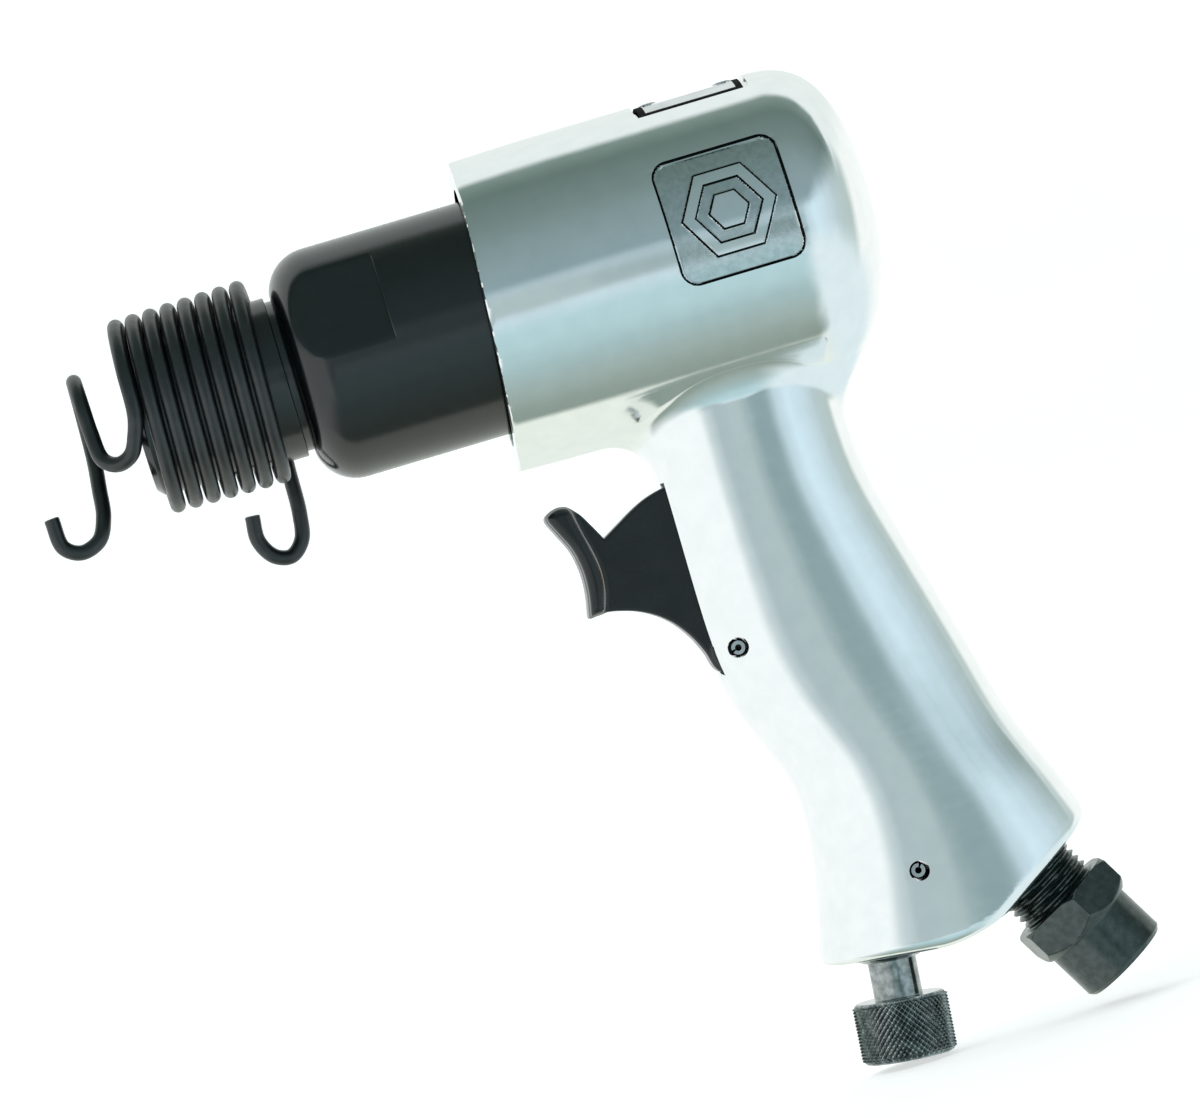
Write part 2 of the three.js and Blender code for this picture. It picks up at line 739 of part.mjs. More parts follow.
function rivetHole(x) {
  const radius = RIVET.shank + GAP;
  const hole = new THREE.CylinderGeometry(radius, radius, OVERRUN, 12).rotateX(Math.PI / 2);
  return hole.translate(x, 0, HOUSING.radius - PLATE.recess - 1);
}

function makeNameplate() {
  const inner = HOUSING.radius - PLATE.recess + GAP;
  const { frontX, length, halfAngle, thickness } = PLATE;
  let body = solid(plateSector(inner, inner + thickness, halfAngle, frontX, length));
  for (const x of rivetPlaces()) body = body.subtract(solid(rivetHole(x)));
  const pieces = [part("nameplate", geometryOf(body), "plate")];
  const headZ = inner + thickness + GAP;
  rivetPlaces().forEach((x, i) => {
    const shank = new THREE.CylinderGeometry(RIVET.shank, RIVET.shank, RIVET.length, 12);
    shank.rotateX(Math.PI / 2).translate(x, 0, headZ - RIVET.length / 2 + 0.1);
    const head = new THREE.CylinderGeometry(RIVET.headTop, RIVET.head, RIVET.headHeight, 12);
    head.rotateX(Math.PI / 2).translate(x, 0, headZ + RIVET.headHeight / 2);
    const rivet = solid(shank).add(solid(head));
    pieces.push(part(i ? "nameplate_rivet_rear" : "nameplate_rivet_front", geometryOf(rivet), "groundSteel"));
  });
  return pieces;
}

// ---- the whole tool ---------------------------------------------------------------------------------

fillThrottle();
fillRegulator();
fillInlet();
const hammer = new THREE.Group();
hammer.add(
  makeHousing(),
  makeBarrel(),
  makePiston(),
  ...makeValveStack(),
  makeRetainerSpring(),
  makeTrigger(),
  makeTriggerPin(),
  throttle,
  regulator,
  inlet,
  ...makeNameplate(),
);
const centre = new THREE.Box3().setFromObject(hammer, true).getCenter(new THREE.Vector3());
hammer.position.copy(centre.negate());

export default hammer;
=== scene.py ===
"""The looks of a pneumatic air hammer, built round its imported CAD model.

Shapes are worked out in millimetres in the tool's own frame: X along the barrel axis with X = 0 at the
housing's front face, Z up from that axis. on_frame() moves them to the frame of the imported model.
"""

import json
import math

import bpy
import numpy as np
from mathutils import Matrix, Vector

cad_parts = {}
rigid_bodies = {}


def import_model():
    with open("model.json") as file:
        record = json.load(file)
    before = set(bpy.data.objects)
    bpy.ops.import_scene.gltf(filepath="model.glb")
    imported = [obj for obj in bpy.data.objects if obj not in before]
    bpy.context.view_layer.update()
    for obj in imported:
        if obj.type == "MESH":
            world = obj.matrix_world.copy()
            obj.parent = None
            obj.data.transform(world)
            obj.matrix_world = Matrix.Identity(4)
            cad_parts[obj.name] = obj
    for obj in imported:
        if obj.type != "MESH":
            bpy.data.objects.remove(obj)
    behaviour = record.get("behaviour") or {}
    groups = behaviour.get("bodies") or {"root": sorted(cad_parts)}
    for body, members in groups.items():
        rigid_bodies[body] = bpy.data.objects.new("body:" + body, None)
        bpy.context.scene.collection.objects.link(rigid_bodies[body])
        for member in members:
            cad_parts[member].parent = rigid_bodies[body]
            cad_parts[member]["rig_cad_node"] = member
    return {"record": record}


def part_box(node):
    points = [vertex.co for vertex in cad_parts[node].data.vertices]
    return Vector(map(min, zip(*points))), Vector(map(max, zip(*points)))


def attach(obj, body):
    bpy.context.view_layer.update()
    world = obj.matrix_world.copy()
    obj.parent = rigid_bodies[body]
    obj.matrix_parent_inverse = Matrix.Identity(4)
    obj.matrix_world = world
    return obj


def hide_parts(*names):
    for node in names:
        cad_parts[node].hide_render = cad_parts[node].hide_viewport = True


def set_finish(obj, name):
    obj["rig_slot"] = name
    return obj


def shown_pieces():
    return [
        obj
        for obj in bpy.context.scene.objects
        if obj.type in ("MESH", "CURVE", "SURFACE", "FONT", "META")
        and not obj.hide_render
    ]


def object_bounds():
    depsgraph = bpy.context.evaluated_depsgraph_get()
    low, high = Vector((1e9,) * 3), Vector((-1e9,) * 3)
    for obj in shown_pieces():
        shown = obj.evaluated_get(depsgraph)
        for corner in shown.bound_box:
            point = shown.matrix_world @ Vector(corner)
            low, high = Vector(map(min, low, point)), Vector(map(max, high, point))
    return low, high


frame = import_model()
cad_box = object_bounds()

MM = 0.001  # in metres
HAIR = 1e-6  # metres by which every mesh stays inside the CAD's box

# ---- driving dimensions, in millimetres and degrees ----

BARREL_NOSE_X = -65.0
BARREL_LOW, BARREL_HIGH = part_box("barrel")
SHIFT = np.array([
    BARREL_LOW.x / MM - BARREL_NOSE_X,
    0.0,
    (BARREL_LOW.z + BARREL_HIGH.z) / 2 / MM,
])

BORE_R = 9.525
SHANK_R = 5.2

BARREL_R = 21.3
NECK_R = 14.8
THREAD_R = 20.0
SHOULDER_X = -28.0
SHOULDER_ROUND = 8.0
BARREL_THREAD_X = 12.0
BARREL_REAR_X = 36.0
BORE_FRONT_X = -38.0
FLAT_HALF_ACROSS = 19.45
FLAT_TO_X = -16.7
FLAT_TILT = 25.0
EDGE_ROUND = 0.4

CLEARANCE = 0.3  # between a bore and what sits in it
HOUSING_R = 28.8
HOUSING_FRONT_R = 28.3
FACE_SLANT = 3.6
DOME_X = 55.0
DOME_LENGTH = 17.7
FACE_ROUND = 0.4
MOUTH_R = 23.6
STACK_STEP_X = 53.7
CHAMBER_R, CHAMBER_X = 15, 60

BADGE_X, BADGE_Z, BADGE_HALF, BADGE_CORNER = 45.85, 4.9, 11.5, 3.2
BADGE_DEPTH, BADGE_RAISED = 0.9, 0.6
BADGE_SIDE_Y = -8
BADGE_SEAT = 0.8  # how far the recess is cut below the panel's face
PANEL_THICKNESS, PANEL_GAP, PANEL_SUNK = 0.75, 0.1, 0.4
RING_OUTER_R, RING_INNER_R, CENTRE_HEXAGON_R = 8.8, 6.0, 3.8
MARK_DRAFT, MARK_ROUND, WALL_FILLET = 0.6, 0.2, 0.8
PLATE_X, PLATE_LENGTH, PLATE_HALF_ANGLE = 36.6, 19.2, 25.0
PLATE_POCKET, PLATE_SEAM = 1.3, 0.9
PLATE_BORDER_ROUND, PLATE_BORDER_LONG, PLATE_PRESSED = 1.6, 1.2, 0.18
RIVET_INSET, RIVET_HEAD_R, RIVET_HEAD_HEIGHT = 2.6, 1.7, 0.33

THROTTLE_Z, THROTTLE_BORE_R, THROTTLE_FROM_X, THROTTLE_TO_X = -52.0, 6.5, 29, 53
PIN_R, PIN_END_R, PIN_BORE_R, PIN_CHAMFER = 1.5, 1.25, 0.6, 0.4
PIN_X, PIN_Z = 26.3, -69.7
SLOT_HALF = 6.2
SLOT_X, SLOT_Z, SLOT_HALF_LENGTH, SLOT_HALF_HEIGHT = 10, -55.3, 20, 17.6
SLOT_CORNER, SLOT_ROUND_PIN = 2.0, 5.4
TRIGGER_PIN_HALF, REGULATOR_PIN_HALF = 10.7, 13.8

REGULATOR_FOOT = np.array([37.4, 0.0, -131.0])
REGULATOR_LEAN = 5.5
REGULATOR_BODY_R, STEM_R, KNOB_R = 7.0, 4.4, 8.75
REGULATOR_PIN_RISE, REGULATOR_PIN_OFFSET = 14.9, 6.7
REGULATOR_BORE_DEPTH, INLET_BORE_DEPTH, BORE_OVERRUN = 25, 15, 20
KNURL_TEETH, KNURL_DEPTH, KNURL_SHARPNESS = 46, 0.85, 1.15

INLET_FOOT = np.array([66.2, 0.0, -124.0])
INLET_SLOPE = 60.0
INLET_THREAD_R, INLET_HEX_R, INLET_COLLAR_R, INLET_BORE_R = 8.0, 11.3, 8.9, 6.8

# Which material a face of a piece has: that of the piece's slot, black paint that stands for painted
# shade, or the cast skin, which is darker and also paints the shade of a recess floor.
MAIN_FACE, PAINTED_SHADE_FACE, CAST_SKIN_SHADE_FACE = 0, 1, 2


def slanted_axis(degrees_below_x):
    """The direction in XZ that lies this far below +X."""
    angle = math.radians(degrees_below_x)
    return np.array([math.cos(angle), 0.0, -math.sin(angle)])


REGULATOR_AXIS = slanted_axis(90 + REGULATOR_LEAN)
INLET_AXIS = slanted_axis(INLET_SLOPE)


# ---- placing meshes on the frame ----


def on_frame(points):
    """Tool-frame millimetres as row-frame metres."""
    return (np.asarray(points, float) + SHIFT) * MM


def new_object(name, data):
    thing = bpy.data.objects.new(name, data)
    bpy.context.scene.collection.objects.link(thing)
    return thing


def add_piece(name, points, faces, body, slot, replaces=(), sharp=32.0):
    """A smooth-shaded mesh from tool points in mm, kept to the CAD's box and set on its body and slot."""
    mesh = bpy.data.meshes.new(name)
    placed = np.clip(on_frame(points), np.array(cad_box[0]) + HAIR, np.array(cad_box[1]) - HAIR)
    mesh.from_pydata(placed.tolist(), [], faces)
    mesh.validate()
    mesh.polygons.foreach_set("use_smooth", [True] * len(mesh.polygons))
    mesh.set_sharp_from_angle(angle=math.radians(sharp))
    piece = new_object(name, mesh)
    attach(piece, body)
    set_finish(piece, slot)
    if replaces:
        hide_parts(*replaces)
    return piece


def local_to_tool(points, foot, axis):
    """Points with X along an axis of the XZ plane, moved to that axis in the tool frame."""
    points = np.asarray(points, float)
    across = np.array([-axis[2], 0.0, axis[0]])
    beside = np.array([0.0, 1.0, 0.0])
    return foot + points[:, :1] * axis + points[:, 1:2] * beside + points[:, 2:3] * across


# ---- turned shapes ----


def rounded(profile, radii, arc_steps=5):
    """A profile of (x, r) corners with each corner rounded by its own radius."""
    count = len(profile)
    corners = np.array(profile, float)
    result = []
    for i in range(count):
        radius = radii[i] if isinstance(radii, (list, tuple)) else radii
        here, before, after = corners[i], corners[(i - 1) % count], corners[(i + 1) % count]
        back, ahead = before - here, after - here
        back_length, ahead_length = np.linalg.norm(back), np.linalg.norm(ahead)
        if radius <= 0 or here[1] < 1e-6 or back_length < 1e-9 or ahead_length < 1e-9:
            result.append(here)
            continue
        back, ahead = back / back_length, ahead / ahead_length
        half = math.acos(np.clip(back @ ahead, -1, 1)) / 2
        if half > math.pi / 2 - 0.02:
            result.append(here)
            continue
        reach = min(radius / math.tan(half), 0.45 * back_length, 0.45 * ahead_length)
        actual = reach * math.tan(half)
        centre = here + (back + ahead) / np.linalg.norm(back + ahead) * actual / math.sin(half)
        start, end = here + back * reach - centre, here + ahead * reach - centre
        sweep = math.atan2(start[0] * end[1] - start[1] * end[0], start @ end)
        for step in range(arc_steps + 1):
            turn = sweep * step / arc_steps
            c, s = math.cos(turn), math.sin(turn)
            result.append(centre + np.array([c * start[0] - s * start[1], s * start[0] + c * start[1]]))
    return np.array(result)


def divided(profile, longest, shaped_from=-math.inf):
    """A closed profile with its long stretches split from x = shaped_from on."""
    result = []
    for here, after in zip(profile, np.roll(profile, -1, axis=0)):
        steps = 1
        if min(here[0], after[0]) >= shaped_from:
            steps = max(1, int(math.ceil(np.linalg.norm(after - here) / longest)))
        result += [here + (after - here) * k / steps for k in range(steps)]
    return np.array(result)


def ring_faces(first, second, columns):
    """Quads between two closed rings of points, which start at these numbers."""
    turned = [(j + 1) % columns for j in range(columns)]
    return [(first + j, first + k, second + k, second + j) for j, k in enumerate(turned)]


def revolve(profile, angles, shape=None):
    """A closed profile of (x, r) turned about X. shape(x, r, angle) may change the radius."""
    angles = np.asarray(angles, float)
    x = np.repeat(profile[:, 0], len(angles)).reshape(len(profile), -1)
    r = np.repeat(profile[:, 1], len(angles)).reshape(len(profile), -1)
    theta = np.broadcast_to(angles, x.shape)
    if shape is not None:
        r = shape(x, r, theta)
    points = np.stack([x, -r * np.cos(theta), r * np.sin(theta)], axis=-1).reshape(-1, 3)
    rows, columns = x.shape
    faces = []
    for i in range(rows):
        following = (i + 1) % rows
        both_on_axis = profile[i, 1] < 1e-6 and profile[following, 1] < 1e-6
        if not both_on_axis:
            faces += ring_faces(i * columns, following * columns, columns)
    return points, faces


def even_angles(count, extra=()):
    """Angles all the way round, with each extra one in place of those close to it."""
    angles = [2 * math.pi * i / count for i in range(count)]
    spacing = 2 * math.pi / count
    for value in extra:
        value %= 2 * math.pi
        apart = [abs((a - value + math.pi) % (2 * math.pi) - math.pi) for a in angles]
        angles = [a for a, gap in zip(angles, apart) if gap > 0.3 * spacing]
        angles.append(value)
    return np.array(sorted(angles))


# ---- shapes held as fields ----
# A field is negative inside the metal. Its zero surface is meshed with its edges kept sharp.

CONTOUR_HOLD = 0.03  # how firmly a point of the mesh is held to the middle of its cell's crossings
COS_30 = 0.866


def join(a, b, radius):
    """Both shapes, with a fillet of this radius where they meet."""
    blend = np.hypot(np.maximum(radius - a, 0), np.maximum(radius - b, 0))
    return np.maximum(radius, np.minimum(a, b)) - blend


def common(a, b, radius):
    """What the two shapes share, with the edge between them rounded."""
    blend = np.hypot(np.maximum(a + radius, 0), np.maximum(b + radius, 0))
    return np.minimum(-radius, np.maximum(a, b)) + blend


def cut(a, *holes):
    """A shape with these holes in it."""
    for hole in holes:
        a = np.maximum(a, -hole)
    return a


def spline(knots):
    """A smooth curve through (t, value) knots, straight beyond its ends."""
    t, v = np.array(sorted(knots), float).T
    gap = np.diff(t)
    slope = np.diff(v) / gap
    count = len(t)
    matrix = np.eye(count)
    right = np.zeros(count)
    for i in range(1, count - 1):
        matrix[i, i - 1:i + 2] = gap[i - 1], 2 * (gap[i - 1] + gap[i]), gap[i]
        right[i] = 6 * (slope[i] - slope[i - 1])
    bend = np.linalg.solve(matrix, right)

    def at(x):
        i = np.clip(np.searchsorted(t, x) - 1, 0, count - 2)
        inner = np.clip(x, t[0], t[-1])
        a, b = (t[i + 1] - inner) / gap[i], (inner - t[i]) / gap[i]
        curve = a * v[i] + b * v[i + 1]
        curve += ((a**3 - a) * bend[i] + (b**3 - b) * bend[i + 1]) * gap[i] ** 2 / 6
        first = slope[0] - gap[0] * bend[1] / 6
        last = slope[-1] + gap[-1] * bend[-2] / 6
        return curve + np.minimum(x - t[0], 0) * first + np.maximum(x - t[-1], 0) * last

    return at


def gradient(field, p, reach=0.02):
    """How fast a field grows along each axis at these points."""
    result = np.empty_like(p)
    for axis in range(3):
        step = np.zeros(3)
        step[axis] = reach
        ahead, behind = p + step, p - step
        result[:, axis] = field(*ahead.T) - field(*behind.T)
    return result / (2 * reach)


def dual_contour(field, low, high, step):
    """Points and faces of the surface where the field is zero."""
    axes = [np.arange(from_, to + step, step) for from_, to in zip(low, high)]
    grid = np.empty([len(a) for a in axes])
    for i in range(0, len(axes[0]), 8):
        grid[i:i + 8] = field(*np.meshgrid(axes[0][i:i + 8], axes[1], axes[2], indexing="ij"))
    inside = grid < 0
    cells = np.array(grid.shape) - 1
    low = np.array([a[0] for a in axes])
    all_points, all_normals, all_cells, all_flips = [], [], [], []
    units = np.eye(3, dtype=int)
    for axis in range(3):
        first = [slice(None)] * 3
        second = [slice(None)] * 3
        first[axis], second[axis] = slice(None, -1), slice(1, None)
        crossing = np.argwhere(inside[tuple(first)] != inside[tuple(second)])
        unit = units[axis]
        f0 = grid[tuple(crossing.T)]
        f1 = grid[tuple((crossing + unit).T)]
        start = low + crossing * step
        near, far = np.zeros(len(start)), np.ones(len(start))
        for _ in range(4):
            width = far - near
            t = np.clip(near + width * f0 / (f0 - f1), near + 0.02 * width, far - 0.02 * width)
            value = field(*(start + (t * step)[:, None] * unit).T)
            same = (value < 0) == (f0 < 0)
            near, f0 = np.where(same, t, near), np.where(same, value, f0)
            far, f1 = np.where(same, far, t), np.where(same, f1, value)
        t = near + (far - near) * f0 / (f0 - f1)
        points = start + (t * step)[:, None] * unit
        slope = gradient(field, points)
        b, c = units[(axis + 1) % 3], units[(axis + 2) % 3]
        around = [crossing - b - c, crossing - c, crossing, crossing - b]
        all_cells.append(np.stack([np.ravel_multi_index(q.T, cells) for q in around], axis=1))
        all_points.append(points)
        all_normals.append(slope / np.maximum(np.linalg.norm(slope, axis=1, keepdims=True), 1e-9))
        all_flips.append(inside[tuple((crossing + unit).T)])
    points, normals = np.concatenate(all_points), np.concatenate(all_normals)
    quads, flips = np.concatenate(all_cells), np.concatenate(all_flips)
    used, index = np.unique(quads.ravel(), return_inverse=True)
    index = index.reshape(quads.shape)
    corner = low + np.stack(np.unravel_index(used, cells), axis=1) * step

    def gather(values):
        return sum(np.bincount(index[:, k], values, len(used)) for k in range(4))

    count = gather(np.ones(len(points)))
    middle = np.stack([gather(points[:, k]) for k in range(3)], axis=1) / count[:, None]
    along = (normals * points).sum(1)
    matrix = np.empty((len(used), 3, 3))
    right = np.empty((len(used), 3))
    for i in range(3):
        right[:, i] = gather(normals[:, i] * along)
        for j in range(i, 3):
            matrix[:, i, j] = matrix[:, j, i] = gather(normals[:, i] * normals[:, j])
    right -= (matrix @ middle[:, :, None])[:, :, 0]
    matrix += CONTOUR_HOLD * np.eye(3)
    placed = middle + np.linalg.solve(matrix, right[:, :, None])[:, :, 0]
    placed = np.clip(placed, corner, corner + step)
    index = np.where(flips[:, None], index[:, ::-1], index)
    return placed, index


# ---- housing ----

GRIP_FRONT = spline([
    (-20, 21.5), (-45, 21.4), (-60, 21.2), (-70, 21.5), (-78, 22.8), (-86, 25.5), (-94, 28.6),
    (-101, 29.7), (-108, 29.3), (-116, 28.0), (-124, 26.0), (-132, 23.8),
])
GRIP_BACK = spline([
    (-20, 57.8), (-38, 57.2), (-46, 57.9), (-55, 59.9), (-70, 63.8), (-85, 67.6), (-97, 71.0),
    (-105, 74.3), (-113, 77.4), (-125, 81.5),
])
GRIP_HALF_WIDTH = spline([(-15, 16.4), (-35, 15.6), (-60, 15.2), (-85, 15.4), (-105, 16.2), (-125, 16.8)])
GRIP_ROUNDNESS = 2.5
GRIP_TOP_Z = -12
MIDDLE_FILLET, SIDE_FILLET = 8.0, 2.8
FOOT_FRONT_X, FOOT_FRONT_Z = 40, -130.7
FOOT_REAR_X, FOOT_REAR_Z, FOOT_REAR_SLOPE = 66, -124, 58
FOOT_RIDGE_ROUND, FOOT_EDGE_ROUND = 5, 2.2
HOUSING_LOW, HOUSING_HIGH = (-5.2, -30.4, -135.3), (78.8, 30.4, 30.4)


def barrel_case_field(x, y, z):
    """The round front part with its domed rear, which is fuller above than below."""
    r = np.hypot(y, z)
    shrink = (HOUSING_R - HOUSING_FRONT_R) * np.clip((20 - x) / 23, 0, 1) ** 2
    power = 2.5 + 0.5 * z / np.maximum(r, 1)
    ahead = np.maximum(x - DOME_X, 0) / DOME_LENGTH
    out = r / (HOUSING_R - shrink)
    reach = (ahead**power + out**power) ** (1 / power)
    return (reach - 1) * HOUSING_R


def grip_field(x, y, z):
    """The grip's column, which is a rounded oval at every height."""
    front, back, half = GRIP_FRONT(z), GRIP_BACK(z), GRIP_HALF_WIDTH(z)
    length = (back - front) / 2
    u, v = np.abs(x - (front + back) / 2) / length, np.abs(y) / half
    n = GRIP_ROUNDNESS
    q = np.maximum((u**n + v**n) ** (1 / n), 1e-3)
    steepness = np.hypot(u ** (n - 1) / length, v ** (n - 1) / half) / q ** (n - 1)
    return (q - 1) / np.maximum(steepness, 0.5 / half)


def base_field(x, y, z):
    """Above the two faces of the grip's foot, which are about square to the regulator and the inlet."""
    front_face = (x - FOOT_FRONT_X) * REGULATOR_AXIS[0] + (z - FOOT_FRONT_Z) * REGULATOR_AXIS[2]
    normal = slanted_axis(FOOT_REAR_SLOPE)
    rear_face = (x - FOOT_REAR_X) * normal[0] + (z - FOOT_REAR_Z) * normal[2]
    return common(front_face, rear_face, FOOT_RIDGE_ROUND)


def along_axis(x, y, z, foot, axis):
    """Distance along and out from an axis of the middle plane."""
    along = (x - foot[0]) * axis[0] + (z - foot[2]) * axis[2]
    side = (x - foot[0]) * axis[2] - (z - foot[2]) * axis[0]
    return along, np.hypot(side, y)


def hole_field(along, out, radius, start, end):
    """A round hole between two places along its axis."""
    return np.maximum(out - radius, np.maximum(start - along, along - end))


def rounded_square(u, v, half_u, half_v, corner):
    """A rectangle with rounded corners, centred at 0."""
    du, dv = np.abs(u) - half_u + corner, np.abs(v) - half_v + corner
    return np.hypot(np.maximum(du, 0), np.maximum(dv, 0)) + np.minimum(np.maximum(du, dv), 0) - corner


def hexagon_field(u, v, radius):
    """A hexagon with this radius to its corners, which has flats at the top and bottom."""
    u, v = np.abs(u), np.abs(v)
    return np.maximum(v, COS_30 * u + 0.5 * v) - COS_30 * radius


def badge_recess_field(x, y, z):
    """The recess for the badge, on the near side only."""
    window = rounded_square(x - BADGE_X, z - BADGE_Z, BADGE_HALF, BADGE_HALF, BADGE_CORNER)
    above_seat = HOUSING_R - BADGE_DEPTH - BADGE_SEAT - np.hypot(y, z)
    return np.maximum(np.maximum(window, above_seat), y - BADGE_SIDE_Y)


def badge_panel_field(x, y, z):
    """The recess's floor, curved up to its walls, with a raised hexagon ring round a small hexagon."""
    u, v = x - BADGE_X, z - BADGE_Z
    r = np.hypot(y, z)
    floor = r - HOUSING_R + BADGE_DEPTH
    window = rounded_square(u, v, BADGE_HALF, BADGE_HALF, BADGE_CORNER)
    ring = np.maximum(hexagon_field(u, v, RING_OUTER_R), -hexagon_field(u, v, RING_INNER_R))
    outline = np.minimum(ring, hexagon_field(u, v, CENTRE_HEXAGON_R)) + MARK_DRAFT * floor
    mark = common(outline, floor - BADGE_RAISED, MARK_ROUND)
    panel = join(join(floor, mark, MARK_ROUND), -window, WALL_FILLET)
    panel = np.maximum(np.maximum(panel, window + PANEL_GAP), r - HOUSING_R + PANEL_SUNK)
    return np.maximum(panel, HOUSING_R - BADGE_DEPTH - PANEL_THICKNESS - r)


def make_badge_panel():
    """The recess's floor as a plate of its own, with its walls painted black as painted shade and a darker
    cast skin, which is also painted recess shade, where it lies lower.
    """
    reach = BADGE_HALF + 0.5
    low, high = (BADGE_X - reach, -29.5, BADGE_Z - reach), (BADGE_X + reach, -21.5, BADGE_Z + reach)
    points, faces = dual_contour(badge_panel_field, low, high, 0.22)
    panel = add_piece("badge_panel", points, faces.tolist(), "frame", "cast_aluminium", (), 30)
    axis_point = on_frame([(0, 0, 0)])[0]
    for face in panel.data.polygons:
        outward = Vector((0, face.center[1] - axis_point[1], face.center[2] - axis_point[2]))
        # Painted shade: faces steeper than the floor, the recess walls and the mark's sides, get black
        # paint; the sunk floor gets the darker cast skin, partly as-cast, partly painted recess shade.
        steep = face.normal.dot(outward.normalized()) < 0.88
        sunk = outward.length < (HOUSING_R - BADGE_DEPTH + BADGE_RAISED / 2) * MM
        face.material_index = PAINTED_SHADE_FACE if steep else CAST_SKIN_SHADE_FACE if sunk else MAIN_FACE
    return panel


def housing_field(x, y, z):
    """The casting: case and grip run together, less every bore, slot and pocket."""
    r = np.hypot(y, z)
    slant = math.radians(FACE_SLANT)
    face = (z * math.sin(slant) - x * math.cos(slant))
    case = common(barrel_case_field(x, y, z), face, FACE_ROUND)
    column = common(grip_field(x, y, z), base_field(x, y, z), FOOT_EDGE_ROUND)
    grip = common(column, z - GRIP_TOP_Z, 0)
    nearness = np.clip(1.25 - np.abs(y) / 12, 0, 1)
    fillet = SIDE_FILLET + (MIDDLE_FILLET - SIDE_FILLET) * nearness**2 * (3 - 2 * nearness)
    body = join(case, grip, fillet)

    mouth = np.maximum(r - MOUTH_R, x - BARREL_THREAD_X - CLEARANCE)
    seat = np.maximum(r - THREAD_R - CLEARANCE, x - STACK_STEP_X)
    body = cut(body, mouth, seat, np.maximum(r - CHAMBER_R, x - CHAMBER_X))

    slot = rounded_square(x - SLOT_X, z - SLOT_Z, SLOT_HALF_LENGTH, SLOT_HALF_HEIGHT, SLOT_CORNER)
    slot = np.minimum(slot, np.hypot(x - PIN_X, z - PIN_Z) - SLOT_ROUND_PIN)
    throttle_out = np.hypot(y, z - THROTTLE_Z)
    throttle = hole_field(x, throttle_out, THROTTLE_BORE_R, THROTTLE_FROM_X, THROTTLE_TO_X)
    body = cut(body, np.maximum(slot, np.abs(y) - SLOT_HALF), throttle)
    for foot, axis, radius, depth in (
        (REGULATOR_FOOT, REGULATOR_AXIS, REGULATOR_BODY_R + CLEARANCE, REGULATOR_BORE_DEPTH),
        (INLET_FOOT, INLET_AXIS, INLET_THREAD_R + CLEARANCE, INLET_BORE_DEPTH),
    ):
        along, out = along_axis(x, y, z, foot, axis)
        body = cut(body, hole_field(along, out, radius, -depth, BORE_OVERRUN))
    valve_pin = regulator_pin_centre()
    for pin_x, pin_z in ((PIN_X, PIN_Z), (valve_pin[0], valve_pin[2])):
        body = cut(body, np.hypot(x - pin_x, z - pin_z) - (PIN_R + CLEARANCE))

    angle = np.degrees(np.arctan2(np.abs(y), z))
    ends = np.abs(x - PLATE_X - PLATE_LENGTH / 2) - PLATE_LENGTH / 2 - PLATE_SEAM
    sides = (angle - PLATE_HALF_ANGLE) * HOUSING_R * math.pi / 180 - PLATE_SEAM
    pocket = np.maximum(np.maximum(ends, sides), HOUSING_R - PLATE_POCKET - r)
    return cut(body, badge_recess_field(x, y, z), pocket)


def regulator_pin_centre():
    """The middle of the cross pin, which passes beside the valve and rests in its groove."""
    across = np.array([-REGULATOR_AXIS[2], 0.0, REGULATOR_AXIS[0]])
    return REGULATOR_FOOT - REGULATOR_AXIS * REGULATOR_PIN_RISE + across * REGULATOR_PIN_OFFSET


def make_housing():
    """The casting, with the points nearest the mouth's edge set exactly on it."""
    step = 0.6
    points, faces = dual_contour(housing_field, HOUSING_LOW, HOUSING_HIGH, step)
    r = np.hypot(points[:, 1], points[:, 2])
    behind = points[:, 0] - points[:, 2] * math.tan(math.radians(FACE_SLANT))
    close = 0.75 * step
    edge = (np.abs(r - MOUTH_R) < close) & (np.abs(behind) < close)
    points[edge, 1:] *= (MOUTH_R / r[edge])[:, None]
    points[edge, 0] = points[edge, 2] * math.tan(math.radians(FACE_SLANT))
    node = ["handle_housing"]
    return add_piece("housing_casting", points, faces.tolist(), "frame", "cast_aluminium", node, 28)


# ---- barrel ----


